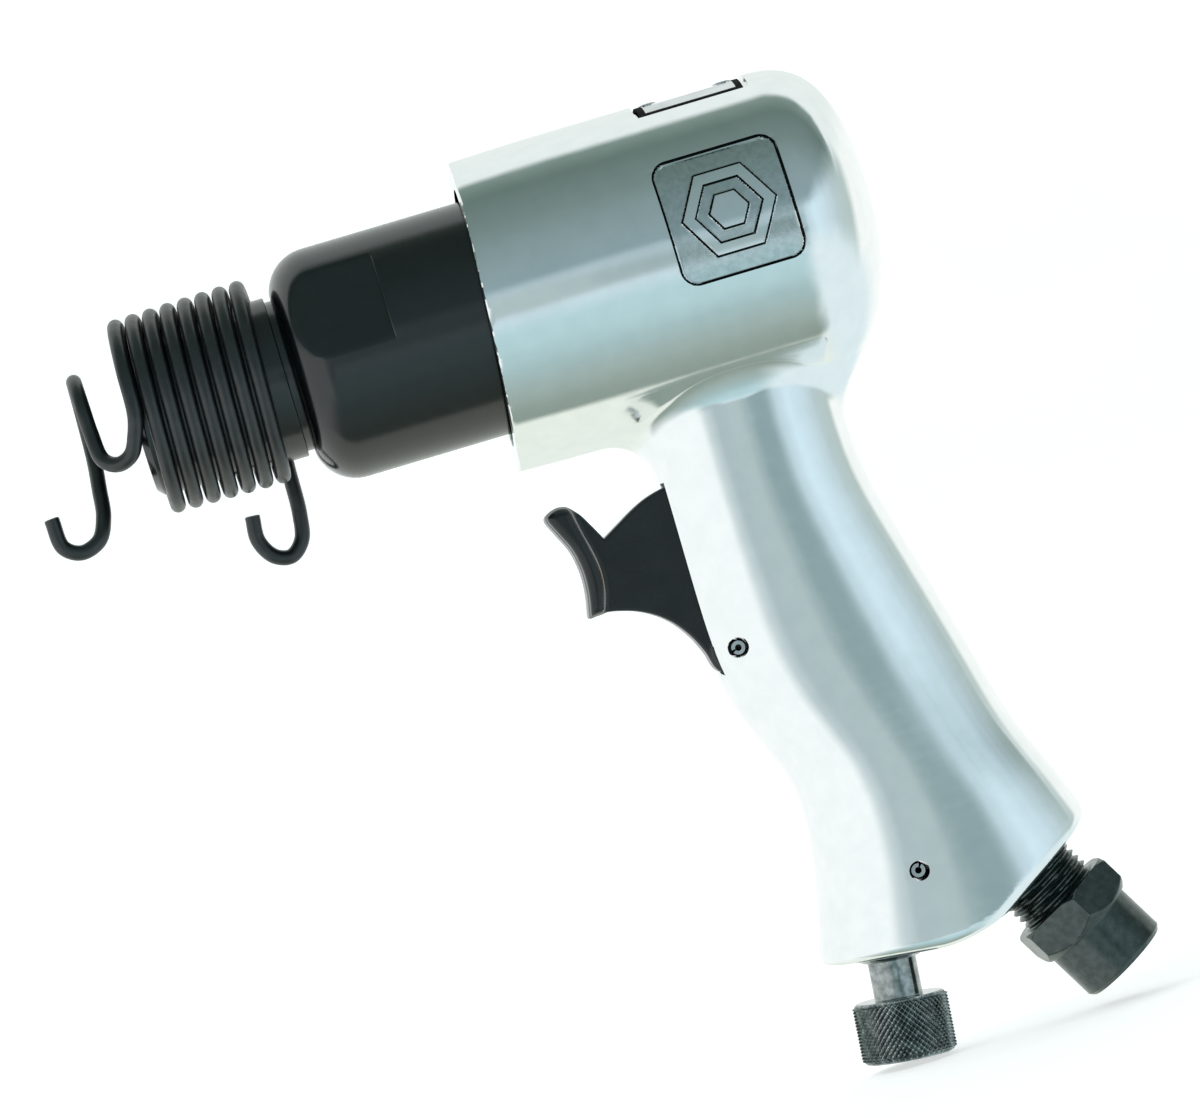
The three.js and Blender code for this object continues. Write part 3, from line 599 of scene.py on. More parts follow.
def make_barrel():
    centre = BARREL_R - SHOULDER_ROUND
    start = math.asin((NECK_R - centre) / SHOULDER_ROUND)
    shoulder = []
    for i in range(25):
        angle = start + (math.pi / 2 - start) * i / 24
        x = SHOULDER_X - SHOULDER_ROUND * math.cos(angle)
        shoulder.append((x, centre + SHOULDER_ROUND * math.sin(angle)))
    groove_x = shoulder[0][0] - 1.2
    corners = [
        (BARREL_NOSE_X, SHANK_R + 1), (BARREL_NOSE_X, NECK_R - 1.8), (BARREL_NOSE_X + 1.2, NECK_R - 0.6),
        (-40, NECK_R), (groove_x, NECK_R), (groove_x, NECK_R - 0.9), (shoulder[0][0], NECK_R - 0.9),
    ]
    tail = [
        (BARREL_THREAD_X - 1, BARREL_R), (BARREL_THREAD_X, THREAD_R), (BARREL_REAR_X, THREAD_R),
        (BARREL_REAR_X, BORE_R), (BORE_FRONT_X, BORE_R), (BORE_FRONT_X, SHANK_R),
        (BARREL_NOSE_X + 1, SHANK_R),
    ]
    radii = [0.3, 0.5, 0.5, 0, 0.2, 0.1, 0.1] + [0] * len(shoulder) + [0.2] * len(tail)
    profile = rounded(corners + shoulder + tail, radii)
    for offset in (0, 0.01, 0.06, 0.15, 0.25, 0.4):
        profile = with_station(profile, FLAT_TO_X + offset)
    flats = [math.radians(FLAT_TILT), math.radians(FLAT_TILT + 180)]
    half = math.acos(FLAT_HALF_ACROSS / BARREL_R)
    near_edge = np.array([-1.0, -0.5, -0.2, 0, 0.2, 0.5, 1.0]) / BARREL_R
    edges = [f + side * half + near for f in flats for side in (-1, 1) for near in near_edge]

    def flatten(x, r, theta):
        lip = np.clip((FLAT_TO_X + EDGE_ROUND - x) / EDGE_ROUND, 0, 1)
        drop = EDGE_ROUND * (1 - np.sqrt(1 - lip**2))
        for middle in flats:
            turn = (theta - middle + math.pi) % (2 * math.pi) - math.pi
            limit = FLAT_HALF_ACROSS / np.maximum(np.cos(turn), 0.2)
            outside = (np.abs(turn) < 1.2) & (r > NECK_R + 0.01)
            flat = outside & (x <= FLAT_TO_X + 0.001)
            rounding = np.maximum(EDGE_ROUND / 2 - np.abs(r - limit), 0) ** 2 / (2 * EDGE_ROUND)
            softened = np.minimum(r, limit) - rounding
            r = np.where(flat, softened, np.where(outside & (np.abs(turn) < half), r - drop, r))
        return r

    points, faces = revolve(divided(profile, 2.5), even_angles(180, edges), flatten)
    return add_piece("barrel_turned", points, faces, "frame", "black_steel", ["barrel"], 25)


def with_station(profile, x):
    """The profile with one more point where its outer line passes x."""
    for i in range(len(profile) - 1):
        a, b = profile[i], profile[i + 1]
        if a[0] < x < b[0]:
            t = (x - a[0]) / (b[0] - a[0])
            return np.insert(profile, i + 1, a + (b - a) * t, axis=0)
    return profile


# ---- retainer spring ----

SPRING_WIRE_R, SPRING_TURNS, SPRING_PITCH = 1.4, 8, 3.257
SPRING_R, SPRING_REAR_X, SPRING_LIFT, SPRING_TAPER = 17.3, -41.0, 0.4, 0.975
WIRE_END_REACH, WIRE_END_SHARE = 0.12, 0.8  # parts of the wire's radius


def spring_route():
    """Ends given one by one, with the coil and the loop between them by formula."""
    per_turn = 12
    route = [
        (-50.2, 14.4, -22), (-50.4, 14.6, -26.5), (-48.4, 14.9, -30), (-45.4, 15.3, -30.9),
        (-42.8, 15.8, -28.6), (-41.8, 16.2, -24), (-41.4, 16.8, -14),
    ]
    for i in range(-3, (SPRING_TURNS - 1) * per_turn + 4):
        progress = max(i, 0) / (per_turn * (SPRING_TURNS - 1))
        reach = SPRING_R * (1 + (SPRING_TAPER - 1) * progress)
        angle = i / per_turn * 2 * math.pi
        x = SPRING_REAR_X - SPRING_PITCH * i / per_turn
        route.append((x, -reach * math.sin(angle), SPRING_LIFT + reach * math.cos(angle)))
    route += [(-65.6, -16.1, -3), (-67.2, -15, -6), (-69.9, -13.4, -7), (-72.4, -11.7, -5.4)]
    for i in range(9):
        angle = math.radians(205) * i / 8
        route.append((-73.2 - 1.4 * i / 8, -9.9 * math.cos(angle), 9.9 * math.sin(angle)))
    route += [
        (-75.1, 5.4, -9.8), (-75.7, 2.6, -14.8), (-77.6, 1, -18.6), (-81.2, 0.2, -19.8),
        (-84.05, 0, -18), (-84.65, 0, -12.6),
    ]
    return np.array(route, float)


def between(p, q, start, end, place):
    """The value at a place on the straight run from p at start to q at end."""
    return (end - place) / (end - start) * p + (place - start) / (end - start) * q


def catmull_rom(route, per_span):
    """A centripetal curve through the route."""
    padded = np.vstack([2 * route[0] - route[1], route, 2 * route[-1] - route[-2]])
    result = []
    for i in range(1, len(padded) - 2):
        p = padded[i - 1:i + 3]
        t = np.concatenate([[0], np.cumsum(np.sqrt(np.linalg.norm(np.diff(p, axis=0), axis=1)))])
        for s in np.linspace(t[1], t[2], per_span, endpoint=False):
            a = [between(p[k], p[k + 1], t[k], t[k + 1], s) for k in range(3)]
            b = [between(a[k], a[k + 1], t[k], t[k + 2], s) for k in range(2)]
            result.append(between(b[0], b[1], t[1], t[2], s))
    result.append(route[-1])
    return np.array(result)


def swept_wire(line, radius, sides):
    """A round wire along a line, with its ends slightly rounded and closed."""
    tangent = np.gradient(line, axis=0)
    tangent /= np.linalg.norm(tangent, axis=1, keepdims=True)
    side = np.cross(tangent[0], (0.0, 1.0, 0.0))
    side /= np.linalg.norm(side)
    rings = []
    for centre, ahead in zip(line, tangent):
        side = side - ahead * (side @ ahead)
        side /= np.linalg.norm(side)
        other = np.cross(ahead, side)
        angle = np.arange(sides) / sides * 2 * math.pi
        ring = np.cos(angle)[:, None] * side + np.sin(angle)[:, None] * other
        rings.append(centre + ring * radius)
    first, last = tangent[0] * radius, tangent[-1] * radius
    start = [line[0] - first * WIRE_END_REACH + (rings[0] - line[0]) * WIRE_END_SHARE]
    end = [line[-1] + last * WIRE_END_REACH + (rings[-1] - line[-1]) * WIRE_END_SHARE]
    rows = np.concatenate([start, rings, end])
    count = len(rows)
    points = rows.reshape(-1, 3)
    faces = []
    for i in range(count - 1):
        faces += ring_faces(i * sides, (i + 1) * sides, sides)
    faces.append(tuple(range(sides))[::-1])
    faces.append(tuple((count - 1) * sides + j for j in range(sides)))
    return points, faces


def make_spring():
    line = catmull_rom(spring_route(), 12)
    points, faces = swept_wire(line, SPRING_WIRE_R, 20)
    return add_piece("retainer_coil", points, faces, "retainer", "spring_steel", ["retainer_spring"], 40)


# ---- trigger ----

# The trigger from the side. A point whose third value is 1 is a sharp corner.
TRIGGER_SIDE = [
    (0.3, -38.2, 0), (1.2, -37.2, 0), (2.8, -36.8, 0), (4.6, -37.3, 0), (6.2, -38.8, 0), (7.6, -41.2, 0),
    (9.2, -44.2, 1), (12, -42.6, 0), (15, -40.9, 0), (18, -39.5, 0), (21.2, -38.6, 0), (24.4, -38.2, 1),
    (24, -50, 0), (24.2, -52, 0), (24, -54, 0), (26.4, -62, 0), (28.5, -65.6, 0), (30.6, -68, 0),
    (30.9, -70.5, 0), (29.6, -73, 0), (27, -74.3, 0), (24, -73.9, 0), (21.8, -72.3, 0), (20.8, -69, 0),
    (19.2, -65.6, 0), (17, -62.5, 0), (14.4, -60.2, 0), (11.4, -58.5, 0), (8, -57.4, 0), (5, -56.9, 0),
    (2.9, -57, 1), (3.7, -52.5, 0), (3.8, -48.5, 0), (3.1, -44.6, 0), (1.5, -41, 0),
]
BLADE_BACK = spline([(-58, 5), (-53, 6.6), (-48, 6.8), (-42, 5.6), (-36, 4.6)])
BLADE_HALF, LEVER_HALF, HUB_R = 8.2, 5.2, 4.4


def smooth_outline(points, per_span=5):
    """A closed outline curved through its points, apart from its sharp corners."""
    count = len(points)
    place = np.array([p[:2] for p in points], float)
    result = []
    for i in range(count):
        before, here, after, beyond = (place[(i + k) % count] for k in (-1, 0, 1, 2))
        leave = (after - here) if points[i][2] else (after - before) / 2
        arrive = (after - here) if points[(i + 1) % count][2] else (beyond - here) / 2
        for k in range(per_span):
            t = k / per_span
            result.append(
                (2 * t**3 - 3 * t**2 + 1) * here + (t**3 - 2 * t**2 + t) * leave
                + (3 * t**2 - 2 * t**3) * after + (t**3 - t**2) * arrive
            )
    return np.array(result)


def outline_field(outline, x, z):
    """Signed distance to a closed outline in XZ."""
    nearest = np.full(x.shape, np.inf)
    crossed = np.zeros(x.shape, bool)
    for (x0, z0), (x1, z1) in zip(outline, np.roll(outline, -1, axis=0)):
        dx, dz = x1 - x0, z1 - z0
        t = np.clip(((x - x0) * dx + (z - z0) * dz) / (dx * dx + dz * dz), 0, 1)
        nearest = np.minimum(nearest, np.hypot(x - x0 - t * dx, z - z0 - t * dz))
        if z0 != z1:
            crossed ^= ((z0 > z) != (z1 > z)) & (x < x0 + (z - z0) * dx / dz)
    return np.where(crossed, -nearest, nearest)


TRIGGER_OUTLINE = smooth_outline(TRIGGER_SIDE)


def trigger_field(x, y, z):
    """A finger blade with a thinner web behind it that carries the pivot hub."""
    side = outline_field(TRIGGER_OUTLINE, x, z)
    blade = common(common(side, x - BLADE_BACK(z), 0.8), np.abs(y) - BLADE_HALF, 1.6)
    lever = common(side, np.abs(y) - LEVER_HALF, 0.6)
    hub = common(np.hypot(x - PIN_X, z - PIN_Z) - HUB_R, np.abs(y) - SLOT_HALF + CLEARANCE, 0.4)
    body = join(join(blade, lever, 1.0), hub, 0.6)
    return np.maximum(body, PIN_R + 0.2 - np.hypot(x - PIN_X, z - PIN_Z))


def make_trigger():
    step = 0.3
    points, faces = dual_contour(trigger_field, (-1.5, -9.4, -76), (32, 9.4, -35), step)
    faces = faces.tolist()
    return add_piece("trigger_lever", points, faces, "trigger_body", "black_plastic", ["trigger"], 35)


# ---- pins, regulator, inlet and plate ----


def make_roll_pin(name, x, z, half_length, slit_angle, node):
    """A rolled spring pin: a slit tube along Y with chamfered ends, black but for its end faces, the black
    being painted shade of the dark ring round the pin in its hole.
    """
    turns = np.linspace(math.radians(12), math.radians(348), 40) + math.radians(slit_angle)
    sections = []
    for y, outer in (
        (-half_length, PIN_END_R), (-half_length + PIN_CHAMFER, PIN_R),
        (half_length - PIN_CHAMFER, PIN_R), (half_length, PIN_END_R),
    ):
        ring = [(x + outer * math.cos(a), y, z + outer * math.sin(a)) for a in turns]
        ring += [(x + PIN_BORE_R * math.cos(a), y, z + PIN_BORE_R * math.sin(a)) for a in turns[::-1]]
        sections.append(ring)
    size = len(sections[0])
    points = [p for ring in sections for p in ring]
    faces = []
    for i in range(len(sections) - 1):
        faces += ring_faces(i * size, (i + 1) * size, size)
    last = (len(sections) - 1) * size
    half = size // 2
    for j in range(half - 1):
        faces.append((j + 1, j, size - 1 - j, size - 2 - j))
        faces.append((last + j, last + j + 1, last + size - 2 - j, last + size - 1 - j))
    pin = add_piece(name, points, faces, "frame", "ground_steel", [node], 30)
    for face in pin.data.polygons:
        # Painted shade: all but the end faces get black paint, standing in for the dark ring where the pin
        # sits in its bore.
        face.material_index = MAIN_FACE if abs(face.normal[1]) > 0.9 else PAINTED_SHADE_FACE
    return pin


def triangle_wave(value):
    """0 at whole numbers and 1 half way between them."""
    return 1 - np.abs(2 * (value % 1) - 1)


def groove(middle, half_width, radius, bottom):
    """The corners of a groove turned into this radius."""
    near, far = middle - half_width, middle + half_width
    return [(near, radius), (near, bottom), (far, bottom), (far, radius)]


def make_regulator():
    """The valve body with its ring and pin grooves, the stem and the knurled knob, in one piece."""
    body, stem, knob = REGULATOR_BODY_R, STEM_R, KNOB_R
    knurl_from, knurl_to = 8.3, 17.8
    corners = [(-33, 0), (-33, 2.6), (-31, 3.6), (-24, 3.6), (-23.2, body)]
    corners += groove(-20.4, 0.9, body, body - 1.6)
    corners += groove(-REGULATOR_PIN_RISE, 2.1, body, 4.9)
    corners += groove(-3.4, 0.9, body, body - 1.6)
    corners += [
        (-0.4, body), (0.6, stem + 0.6), (0.6, stem), (7.5, stem), (7.5, knob - 0.9),
        (knurl_from, knob), (knurl_to, knob), (18.6, knob - 0.9), (18.6, 5.2), (18.2, 4.6), (18.2, 0),
    ]
    teeth = KNURL_TEETH
    row = 2 * math.pi * knob / teeth / 8
    profile = divided(rounded(corners, 0.12, 3), row, knurl_from - 0.9)

    def knurl(x, r, theta):
        around = theta * teeth / (2 * math.pi)
        along = x / (2 * math.pi * knob / teeth)
        ridge = np.minimum(triangle_wave(around + along), triangle_wave(around - along))
        depth = KNURL_DEPTH * (1 - np.minimum(KNURL_SHARPNESS * ridge, 1))
        fade = np.clip((x - 7.7) / 0.5, 0, 1) * np.clip((18.4 - x) / 0.5, 0, 1) * (r > knob - 1)
        return r - depth * fade

    points, faces = revolve(profile, even_angles(teeth * 8), knurl)
    points = local_to_tool(points, REGULATOR_FOOT, REGULATOR_AXIS)
    return add_piece("regulator_knob", points, faces, "regulator", "black_steel", ["regulator_screw"], 30)


def make_inlet():
    """The hexagon bushing, threaded outside to the housing and inside for the air line."""
    thread, hexagon, collar, bore = INLET_THREAD_R, INLET_HEX_R, INLET_COLLAR_R, INLET_BORE_R
    hex_from, hex_to, end = 6.7, 13.5, 23.4
    pitch, outer_depth, inner_depth = 1.41, 0.75, 0.6
    corners = [
        (-12, bore - 2.1), (-12, thread), (hex_from - 0.3, thread), (hex_from, 8.5), (hex_from, 10.2),
        (hex_from + 1.0, hexagon + 0.3), (hex_to - 2.2, hexagon + 0.3), (hex_to, 9.5), (hex_to, collar),
        (end - 0.8, collar), (end, collar - 0.7), (end, bore + 0.8), (end - 0.8, bore),
        (-5, bore), (-5, bore - 2.1),
    ]
    radii = [0.2, 0.4, 0, 0, 0, 0.2, 0.2, 0, 0.5, 0.2, 0.1, 0.1, 0.1, 0.1, 0.1]
    profile = divided(rounded(corners, radii, 4), 0.22)
    first_corner = math.radians(5)
    corner_angles = [first_corner + math.pi / 3 * k for k in range(6)]

    def shape(x, r, theta):
        turn = (theta - first_corner) % (math.pi / 3) - math.pi / 6
        flats = hexagon * math.cos(math.pi / 6) / np.cos(turn)
        hexed = (x >= hex_from) & (x <= hex_to) & (r > collar + 0.2)
        r = np.where(hexed, np.minimum(r, flats), r)
        crest = triangle_wave(x / pitch - theta / (2 * math.pi))
        outside = (x < hex_from - 0.25) & (r > bore + 0.5)
        r = np.where(outside, r - outer_depth * np.clip(1.35 - 1.5 * crest, 0, 1), r)
        fade = np.clip((end - 1.2 - x) / 2, 0, 1)
        inside = (x > -4) & (np.abs(r - bore) < 0.01)
        return np.where(inside, r + inner_depth * fade * (crest - 0.6), r)

    points, faces = revolve(profile, even_angles(240, corner_angles), shape)
    points = local_to_tool(points, INLET_FOOT, INLET_AXIS)
    return add_piece("inlet_fitting", points, faces, "frame", "fitting_steel", ["inlet_bushing"], 30)


def make_nameplate():
    """A rolled plate with a black border, which is enamel and also the painted shadow of the seam round
    it, a blank panel, and two domed drive rivets.
    """
    inner = HOUSING_R - PLATE_POCKET + 0.3
    thickness = 0.6
    across, along = 61, 49
    half = math.radians(PLATE_HALF_ANGLE)
    points = []
    for level in (0, 1):
        for i in range(across):
            for j in range(along):
                angle = half * (2 * i / (across - 1) - 1)
                x = PLATE_X + PLATE_LENGTH * j / (along - 1)
                from_side = (half - abs(angle)) * inner - PLATE_BORDER_ROUND
                from_end = min(j, along - 1 - j) / (along - 1) * PLATE_LENGTH - PLATE_BORDER_LONG
                panel = -PLATE_PRESSED * np.clip(min(from_side, from_end) / 0.4, 0, 1) * level
                r = inner + thickness * level + panel
                points.append((x, r * math.sin(angle), r * math.cos(angle)))
    faces = []
    top = across * along
    for i in range(across - 1):
        for j in range(along - 1):
            a = i * along + j
            b = a + along
            faces.append((a, a + 1, b + 1, b))
            faces.append((top + a, top + b, top + b + 1, top + a + 1))
    rim = [i * along for i in range(across)]
    rim += [(across - 1) * along + j for j in range(1, along)]
    rim += [i * along + along - 1 for i in range(across - 2, -1, -1)]
    rim += list(range(along - 2, 0, -1))
    for a, b in zip(rim, rim[1:] + rim[:1]):
        faces.append((a, b, top + b, top + a))
    plate = add_piece("blank_nameplate", points, faces, "frame", "plate", ["nameplate"], 40)
    middle = np.array(on_frame([(PLATE_X + PLATE_LENGTH / 2, 0, 0)])[0])
    for face in plate.data.polygons:
        offset = (np.array(face.center) - middle) / MM
        round_edge = half * inner - abs(math.atan2(offset[1], offset[2])) * inner
        long_edge = PLATE_LENGTH / 2 - abs(offset[0])
        in_border = min(round_edge / PLATE_BORDER_ROUND, long_edge / PLATE_BORDER_LONG) < 1
        # Painted shadow: the black border stands in for the dark seam between the plate and its pocket.
        face.material_index = PAINTED_SHADE_FACE if in_border else MAIN_FACE
    head_low = inner + thickness + 0.05
    for name, x, node in (
        ("drive_rivet_front", PLATE_X + RIVET_INSET, "nameplate_rivet_front"),
        ("drive_rivet_rear", PLATE_X + PLATE_LENGTH - RIVET_INSET, "nameplate_rivet_rear"),
    ):
        dome = [(-3, 0), (-3, 0.8), (0, 0.9), (0, RIVET_HEAD_R)]
        for angle in np.linspace(0.15, 1.45, 8):
            dome.append((RIVET_HEAD_HEIGHT * math.sin(angle), RIVET_HEAD_R * math.cos(angle)))
        dome.append((RIVET_HEAD_HEIGHT, 0))
        rivet, rivet_faces = revolve(np.array(dome), even_angles(40))
        placed = np.stack([x + rivet[:, 1], rivet[:, 2], head_low + rivet[:, 0]], axis=1)
        add_piece(name, placed, rivet_faces, "frame", "ground_steel", [node], 30)


# ---- materials ----


class Surface:
    """A Principled material whose colour, roughness and bump come from procedural nodes."""

    def __init__(self, name, metallic, colour_low, colour_high, rough_low, rough_high):
        self.material = bpy.data.materials.new(name)
        self.material.use_nodes = True
        self.tree = self.material.node_tree
        self.shader = self.tree.nodes["Principled BSDF"]
        self.shader.inputs["Metallic"].default_value = metallic
        self.place = self.tree.nodes.new("ShaderNodeTexCoord").outputs["Object"]
        self.colours = (colour_low, colour_high)
        self.roughs = (rough_low, rough_high)
        self.height = None

    def node(self, kind, source, socket, **values):
        """A new node with this source in this socket and these values in others."""
        made = self.tree.nodes.new(kind)
        for key, value in values.items():
            made.inputs[key].default_value = value
        self.tree.links.new(source, made.inputs[socket])
        return made

    def noise(self, scale, detail, stretch=None, rough=0.5):
        """Noise with features about 1/scale metres across, longer along axes where stretch is small."""
        source = self.place
        if stretch is not None:
            source = self.node("ShaderNodeMapping", source, "Vector", Scale=stretch).outputs["Vector"]
        values = {"Scale": scale, "Detail": detail, "Roughness": rough}
        return self.node("ShaderNodeTexNoise", source, "Vector", **values).outputs["Fac"]

    def colour_from(self, value):
        ramp = self.node("ShaderNodeValToRGB", value, "Fac")
        for element, position, colour in zip(ramp.color_ramp.elements, (0.35, 0.65), self.colours):
            element.position = position
            element.color = (*colour, 1)
        self.tree.links.new(ramp.outputs["Color"], self.shader.inputs["Base Color"])

    def roughness_from(self, value):
        low, high = self.roughs
        limits = {"From Min": 0.3, "From Max": 0.7, "To Min": low, "To Max": high}
        spread = self.node("ShaderNodeMapRange", value, "Value", **limits)
        self.tree.links.new(spread.outputs["Result"], self.shader.inputs["Roughness"])

    def bump_from(self, value, distance):
        """Adds bumps this many metres high to those already there."""
        node = self.node("ShaderNodeBump", value, "Height", Distance=distance, Strength=1.0)
        if self.height is not None:
            self.tree.links.new(self.height, node.inputs["Normal"])
        self.height = node.outputs["Normal"]
        self.tree.links.new(self.height, self.shader.inputs["Normal"])


def grained(name, metallic, dark, light, smooth, rough, colour, roughness, bump=None, depth=0, ior=None):
    """A surface whose colour, roughness and bump each follow a noise of their own."""
    s = Surface(name, metallic, dark, light, smooth, rough)
    if ior is not None:
        s.shader.inputs["IOR"].default_value = ior
    s.colour_from(s.noise(*colour))
    s.roughness_from(s.noise(*roughness))
    if bump is not None:
        s.bump_from(s.noise(*bump), depth)
    return s.material


def polished_aluminium():
    s = Surface("polished_cast_aluminium", 1.0, (0.885, 0.905, 0.905), (0.925, 0.94, 0.94), 0.06, 0.12)
    s.colour_from(s.noise(260, 5))
    streaks = s.noise(1.0, 5, (160, 900, 700), 0.6)
    s.roughness_from(streaks)
    s.bump_from(s.noise(70, 2), 0.00003)
    s.bump_from(streaks, 0.0000025)
    return s.material


def black_oxide():
    s = Surface("black_oxide_steel", 0.0, (0.0015, 0.0025, 0.003), (0.003, 0.0045, 0.005), 0.13, 0.2)
    s.shader.inputs["IOR"].default_value = 1.65
    s.colour_from(s.noise(420, 5))
    turning = s.noise(1.0, 3, (2600, 60, 60))
    s.roughness_from(turning)
    s.bump_from(turning, 0.000004)
    s.bump_from(s.noise(900, 3), 0.000003)
    return s.material


def satin_plate():
    s = Surface("satin_aluminium_plate", 1.0, (0.70, 0.72, 0.73), (0.84, 0.85, 0.86), 0.26, 0.4)
    s.colour_from(s.noise(200, 3))
    brushed = s.noise(1.0, 4, (150, 3500, 3500))
    s.roughness_from(brushed)
    s.bump_from(brushed, 0.00001)
    return s.material


# The evenly grained surfaces: material, metallic, darker and lighter colour, lowest and highest roughness,
# the noises of colour, roughness and bump, the depth of the bump in metres and the index of refraction.
GRAINED = {
    # A darker cast skin for the badge's sunk floor: partly the unpolished casting, partly painted shade of
    # the recess.
    "cast_skin_and_shade": (
        "cast_aluminium_skin_and_shade", 1.0, (0.58, 0.62, 0.62), (0.70, 0.74, 0.74), 0.1, 0.18,
        (900, 5), (1500, 4), (2500, 4), 0.000012,
    ),
    "knurled": (
        "knurled_black_steel", 1.0, (0.20, 0.22, 0.22), (0.42, 0.45, 0.44), 0.08, 0.15,
        (700, 4), (1500, 3), (1.0, 3, (2600, 2600, 300)), 0.000006,
    ),
    "spring_steel": (
        "oil_tempered_wire", 0.0, (0.004, 0.006, 0.006), (0.009, 0.012, 0.012), 0.28, 0.4,
        (500, 5), (700, 4), (1500, 3), 0.000015, 1.65,
    ),
    "ground_steel": (
        "ground_steel_bright", 1.0, (0.52, 0.54, 0.55), (0.66, 0.67, 0.68), 0.18, 0.32,
        (300, 3), (1.0, 3, (2500, 400, 400)), (1200, 2), 0.000006,
    ),
    "fitting_steel": (
        "dark_phosphate_steel", 1.0, (0.07, 0.085, 0.082), (0.10, 0.12, 0.115), 0.2, 0.3,
        (700, 5), (900, 4), (1800, 4), 0.00002,
    ),
    "black_plastic": (
        "black_moulded_plastic", 0.0, (0.004, 0.006, 0.0065), (0.008, 0.010, 0.011), 0.2, 0.3,
        (200, 3), (500, 3), (1400, 3), 0.000002,
    ),
    "rubber": (
        "nitrile_rubber", 0.0, (0.010, 0.010, 0.010), (0.022, 0.022, 0.023), 0.6, 0.85,
        (500, 3), (900, 3), (2500, 3), 0.00001,
    ),
    "brass": (
        "turned_brass", 1.0, (0.62, 0.44, 0.19), (0.78, 0.60, 0.30), 0.2, 0.36,
        (250, 3), (1.0, 3, (2400, 120, 120)), (1.0, 3, (2400, 120, 120)), 0.000008,
    ),
    # Black paint used as painted shade: on the badge's walls, round the roll pins and on the nameplate's
    # border.
    "painted_shade_black": (
        "matt_black_as_painted_shade", 0.0, (0.001, 0.0015, 0.0015), (0.003, 0.004, 0.004), 0.6, 0.8,
        (600, 3), (1500, 3), None, 0, 1.15,
    ),
}


# ---- stage, light and camera ----

VIEW_WIDTH = 216.0
VIEW_AIM = np.array([7.65, 0.0, -47.5])
VIEW_AZIMUTH = -2.5
VIEW_ROLL = 16.65
LENS = 180.0
SENSOR = 36.0


def make_camera():
    """A long lens on the near side, rolled so that the barrel drops to the left."""
    data = bpy.data.cameras.new("camera")
    data.lens = LENS
    data.sensor_width = SENSOR
    data.clip_start, data.clip_end = 0.05, 20
    camera = new_object("camera", data)
    turn = math.radians(-VIEW_AZIMUTH)
    ahead = Vector((math.sin(turn), math.cos(turn), 0))
    side = Vector((math.cos(turn), -math.sin(turn), 0))
    up = Vector((0, 0, 1))
    roll = math.radians(VIEW_ROLL)
    right = side * math.cos(roll) - up * math.sin(roll)
    top = side * math.sin(roll) + up * math.cos(roll)
    distance = VIEW_WIDTH * LENS / SENSOR * MM
    aim = Vector(on_frame([VIEW_AIM])[0])
    turned = Matrix((right, top, -ahead)).transposed().to_4x4()
    camera.matrix_world = Matrix.Translation(aim - ahead * distance) @ turned
    bpy.context.scene.camera = camera


def make_floor():
    """A pale floor that sweeps up behind the tool in one curve."""
    low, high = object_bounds()
    floor_z = low.z - 0.0005
    front_y, back_y, radius, top, half = -2.5, 1.6, 0.6, 3.0, 3.0
    profile = [(front_y, floor_z), (back_y - radius, floor_z)]
    for i in range(1, 13):
        angle = math.pi / 2 * i / 12
        y = back_y - radius + radius * math.sin(angle)
        profile.append((y, floor_z + radius * (1 - math.cos(angle))))
    profile.append((back_y, floor_z + top))
    points = [(x, y, z) for y, z in profile for x in (-half, half)]
    faces = [(2 * i, 2 * i + 1, 2 * i + 3, 2 * i + 2) for i in range(len(profile) - 1)]
    mesh = bpy.data.meshes.new("floor_sweep")
    mesh.from_pydata(points, [], faces)
    mesh.polygons.foreach_set("use_smooth", [True] * len(mesh.polygons))
    floor = new_object("floor_sweep", mesh)
    floor.visible_glossy = False
    paper = Surface("pale_paper", 0.0, (0.90, 0.90, 0.89), (0.93, 0.93, 0.92), 0.8, 0.9)
    paper.colour_from(paper.noise(8, 3))
    paper.roughness_from(paper.noise(40, 3))
    paper.shader.inputs["Emission Color"].default_value = (1, 1, 1, 1)
    paper.shader.inputs["Emission Strength"].default_value = 0.5
    mesh.materials.append(paper.material)


# What lies around the tool, as seen in a polished surface: (angle, red, green, blue). The angles start
# from straight toward the camera. The first list goes up and over or down and under, and the second
# goes round to the right (+) or the left (-).
ROUND_UP_AND_DOWN = [
    (-180, 0.84, 0.90, 0.84), (-92, 0.88, 0.94, 0.86), (-87, 0.27, 0.34, 0.30), (-67, 0.36, 0.45, 0.42),
    (-49, 0.40, 0.55, 0.56), (-32, 0.48, 0.68, 0.71), (-20, 0.50, 0.71, 0.75), (-8, 0.64, 0.79, 0.85),
    (0, 0.56, 0.71, 0.77), (9, 0.45, 0.58, 0.63), (14, 0.27, 0.38, 0.41), (32, 0.26, 0.35, 0.37),
    (49, 0.22, 0.31, 0.31), (67, 0.18, 0.25, 0.24), (90, 0.14, 0.20, 0.18), (107, 0.22, 0.30, 0.27),
    (113, 0.86, 0.93, 0.92), (180, 0.84, 0.90, 0.86),
]
ROUND_LEFT_AND_RIGHT = [
    (-180, 1.0, 1.04, 1.03), (-30, 0.98, 1.04, 1.04), (-22, 0.60, 0.70, 0.72), (-16, 0.45, 0.55, 0.57),
    (3, 0.46, 0.57, 0.58), (6, 0.28, 0.39, 0.41), (15, 0.29, 0.40, 0.42), (21, 0.56, 0.71, 0.78),
    (34, 0.70, 0.88, 0.97), (52, 0.64, 0.80, 0.88), (75, 0.52, 0.64, 0.66), (104, 0.50, 0.60, 0.58),
    (116, 0.98, 1.02, 1.0), (180, 1.0, 1.04, 1.03),
]
LOW_RIGHT_PANEL = (0.78, 0.90, 0.93)


